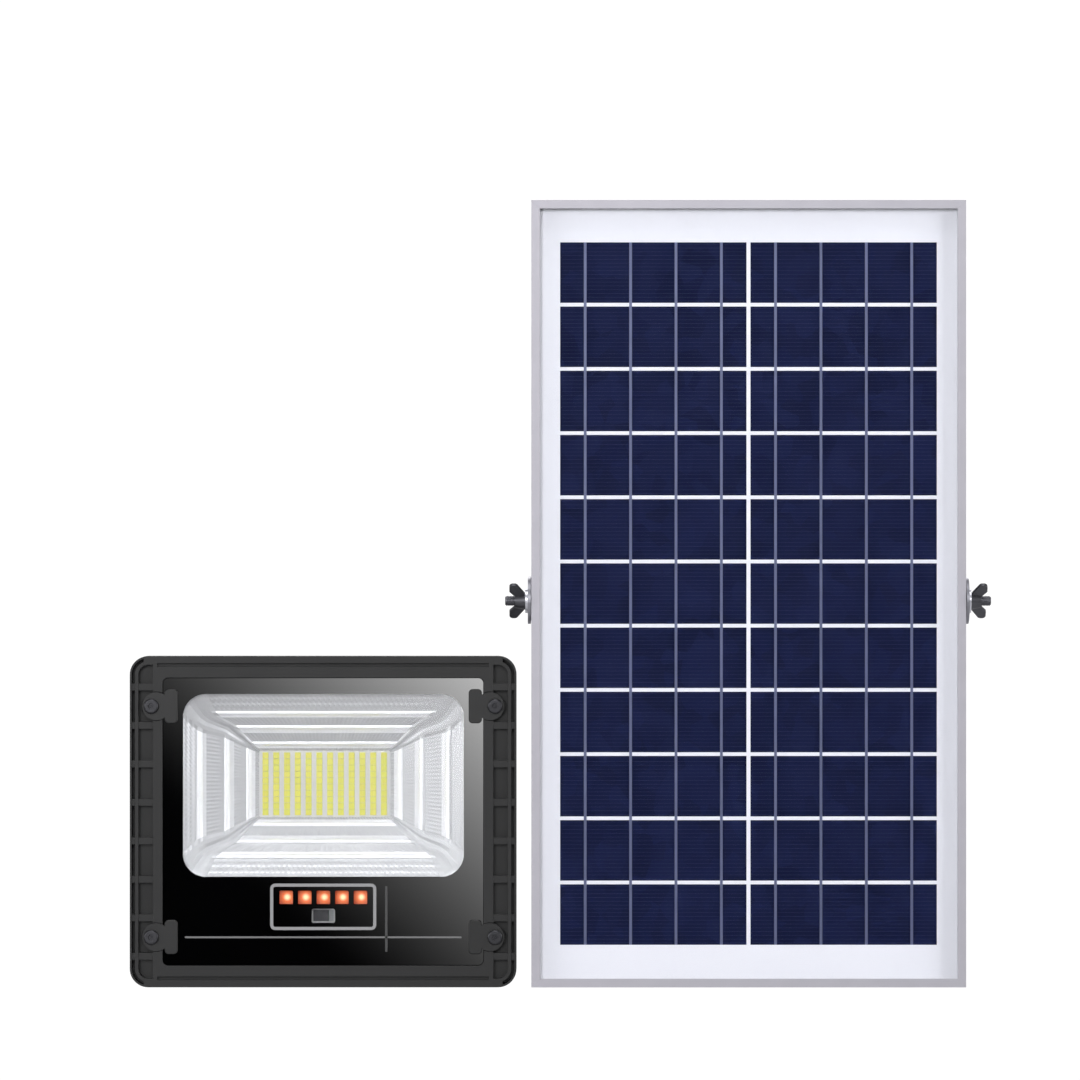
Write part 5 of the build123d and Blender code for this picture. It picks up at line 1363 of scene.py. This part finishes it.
@dataclass
class Studio:
    """Pale floor, soft lamps, the grey card that the front glass mirrors, and the camera."""

    lamps: tuple[Softbox, ...] = (
        Softbox("softbox_right", (2.4, -0.9, 0.6), 1.1, 24),
        Softbox("softbox_left", (-2.2, -0.9, 0.5), 1.1, 18),
        Softbox("softbox_top", (0.1, -0.5, 2.2), 1.2, 16),
        Softbox("softbox_front_left", (-0.8, -2.9, 0.5), 0.6, 15),
        Softbox("softbox_front_top", (0.15, -2.9, 1.15), 0.6, 15),
        Softbox("softbox_back", (0.3, 2.0, 1.2), 1.4, 16))
    distance: float = 3.0
    view_width: float = 0.5832    # width that the camera takes in at the object's front
    shift_x: float = -11.4 * MM    # camera's place beside the object's middle
    shift_z: float = 29.0 * MM    # camera's place above the object's middle
    sensor_mm: float = 36.0
    clip_end: float = 50.0
    backdrop: float = 1.05    # strength of the white that the camera sees behind the object
    white: str = "#ffffff"
    fill_tint: str = "#fcfcff"    # colour of the soft light from all round
    fill: float = 0.42    # strength of the soft light from all round
    floor_drop: float = 0.6    # floor below the object's lowest point
    floor_reach: float = 9.0    # half the floor's width
    card_before_camera: float = 0.1    # cards in front of the camera
    # left side of the cards, edge between them and right side of the dark one
    card_x: Triple = (-0.42, 0.09, 0.72)
    card_z: Triple = (-0.52, 0.12, 0.64)    # foot of the cards, edge between them and top of the dark one
    card_rise: Point = (1.477, 1.513)    # growth of the graded card's shade for each metre across and up
    card_shade: float = 0.616    # its shade at the frame's middle
    card_least: float = 0.012    # its darkest shade
    card_curve: float = 2.2    # power that turns shade into light
    card_glow: float = 25.0    # light at full shade

    def __post_init__(self) -> None:
        """Find the point that the camera and the lamps face."""
        low, high = CAD_BOX
        self.middle = Vector(((low[0] + high[0]) / 2 + self.shift_x, low[1],
                              (low[2] + high[2]) / 2 + self.shift_z))

    def build(self) -> None:
        """Build the whole studio."""
        bpy.context.scene.view_settings.view_transform = "Standard"
        self.build_world()
        self.build_floor(CAD_BOX[0][2] - self.floor_drop)
        for lamp in self.lamps:
            lamp.light(self.middle)
        self.build_cards()
        self.build_camera()

    def build_world(self) -> None:
        """White where the camera looks past the object, and soft grey for everything else."""
        world = bpy.data.worlds.new("studio")
        world.use_nodes = True
        tree = world.node_tree
        seen = tree.nodes["Background"]
        feed(tree, seen, {"Color": linear(self.white), "Strength": self.backdrop})
        fill = add_node(tree, "ShaderNodeBackground", {
            "Color": linear(self.fill_tint), "Strength": self.fill})
        split_rays(tree, "Is Camera Ray", fill.outputs[0], seen.outputs[0], "World Output")
        bpy.context.scene.world = world

    def build_floor(self, height: float) -> None:
        """Plain pale floor well below the hanging object.

        Args:
            height: Height of the floor.
        """
        reach = self.floor_reach
        corners = [(x * reach, y * reach, height) for x, y in ((-1, -1), (1, -1), (1, 1), (-1, 1))]
        # Chalky emulsion paint, rolled on: pale grey, without gloss
        material, tree, shader = new_material("pale_floor_paint")
        feed(tree, shader, {"Base Color": linear("#cbcbcb"), "Roughness": 0.9})
        white = add_node(tree, "ShaderNodeEmission", {"Strength": self.backdrop})
        split_rays(tree, "Is Camera Ray", shader.outputs[0], white.outputs[0], "Material Output")
        self.sheet("floor", corners, material)

    def sheet(self, name: str, corners: list[Triple], material: Material) -> Object:
        """Flat sheet of the studio.

        Args:
            name: Name of the sheet.
            corners: Its corners in order.
            material: What it is made of.

        Returns:
            The sheet.
        """
        mesh = mesh_from(name, [Vector(corner) for corner in corners],
                         [tuple(range(len(corners)))])
        mesh.materials.append(material)
        return plain_object(name, mesh)

    def build_cards(self) -> None:
        """Cards beside the camera, unseen by it: a graded one for the lamp, a dark one."""
        y = self.middle.y - self.distance + self.card_before_camera
        left, edge, right = self.card_x
        foot, ledge, top = self.card_z
        graded = [(left, foot), (edge, foot), (edge, ledge), (left, ledge)]
        dark = [(edge, foot), (right, foot), (right, top), (left, top), (left, ledge),
                (edge, ledge)]
        for name, outline, material in (("mirror_card", graded, self.graded_card()),
                                        ("dark_card", dark, self.dark_cloth())):
            card = self.sheet(name, [(x, y, z) for x, z in outline], material)
            card.visible_camera = False

    def graded_card(self) -> Material:
        """Lit card that runs from black at its lower left to white at its upper right.

        Returns:
            The material.
        """
        # Diffuser film, lit from behind: an even glow that grows towards one corner
        material, tree, shader = new_material("lit_diffuser_film")
        tree.nodes.remove(shader)
        place = add_node(tree, "ShaderNodeTexCoord")
        parts = add_node(tree, "ShaderNodeSeparateXYZ", {"Vector": place.outputs["Object"]})
        shade = self.card_shade
        for axis, rise in zip("XZ", self.card_rise):
            shade = add_node(tree, "ShaderNodeMath", {0: parts.outputs[axis], 1: rise, 2: shade},
                             operation="MULTIPLY_ADD").outputs[0]
        shade = add_node(tree, "ShaderNodeClamp", {"Value": shade, "Min": self.card_least}).outputs[0]
        for operation, value in (("POWER", self.card_curve), ("MULTIPLY", self.card_glow)):
            shade = add_node(tree, "ShaderNodeMath", {0: shade, 1: value},
                             operation=operation).outputs[0]
        glow = add_node(tree, "ShaderNodeEmission", {"Strength": shade})
        tree.links.new(glow.outputs[0], tree.nodes["Material Output"].inputs["Surface"])
        return material

    def dark_cloth(self) -> Material:
        """Dull dark cloth that keeps the panel's glass clear of reflections.

        Returns:
            The material.
        """
        # Brushed cotton: nearly black, without gloss
        material, tree, shader = new_material("brushed_black_cotton")
        feed(tree, shader, {"Base Color": linear("#38383f"), "Roughness": 0.95})
        return material

    def build_camera(self) -> None:
        """Long lens, level and square to the object's front."""
        data = bpy.data.cameras.new("camera")
        data.sensor_width = self.sensor_mm
        data.lens = self.sensor_mm * self.distance / self.view_width
        data.clip_end = self.clip_end
        camera = bpy.data.objects.new("camera", data)
        camera.location = self.middle + Vector((0, -self.distance, 0))
        camera.rotation_euler = (math.radians(90), 0, 0)
        bpy.context.scene.collection.objects.link(camera)
        bpy.context.scene.camera = camera


def main() -> None:
    """Dress the carried-over nodes, build the pieces and set the studio."""
    logging.basicConfig(level=logging.INFO, format="%(message)s")
    dress_carried_nodes()
    FrontGlass().build()
    Reflector().build()
    DiodeField().build()
    CellField().build()
    for thread in bolt_threads():
        thread.build(Body.PANEL, "bright_screw", WORN_ZINC)
    Studio().build()


if __name__ == "__main__":
    main()
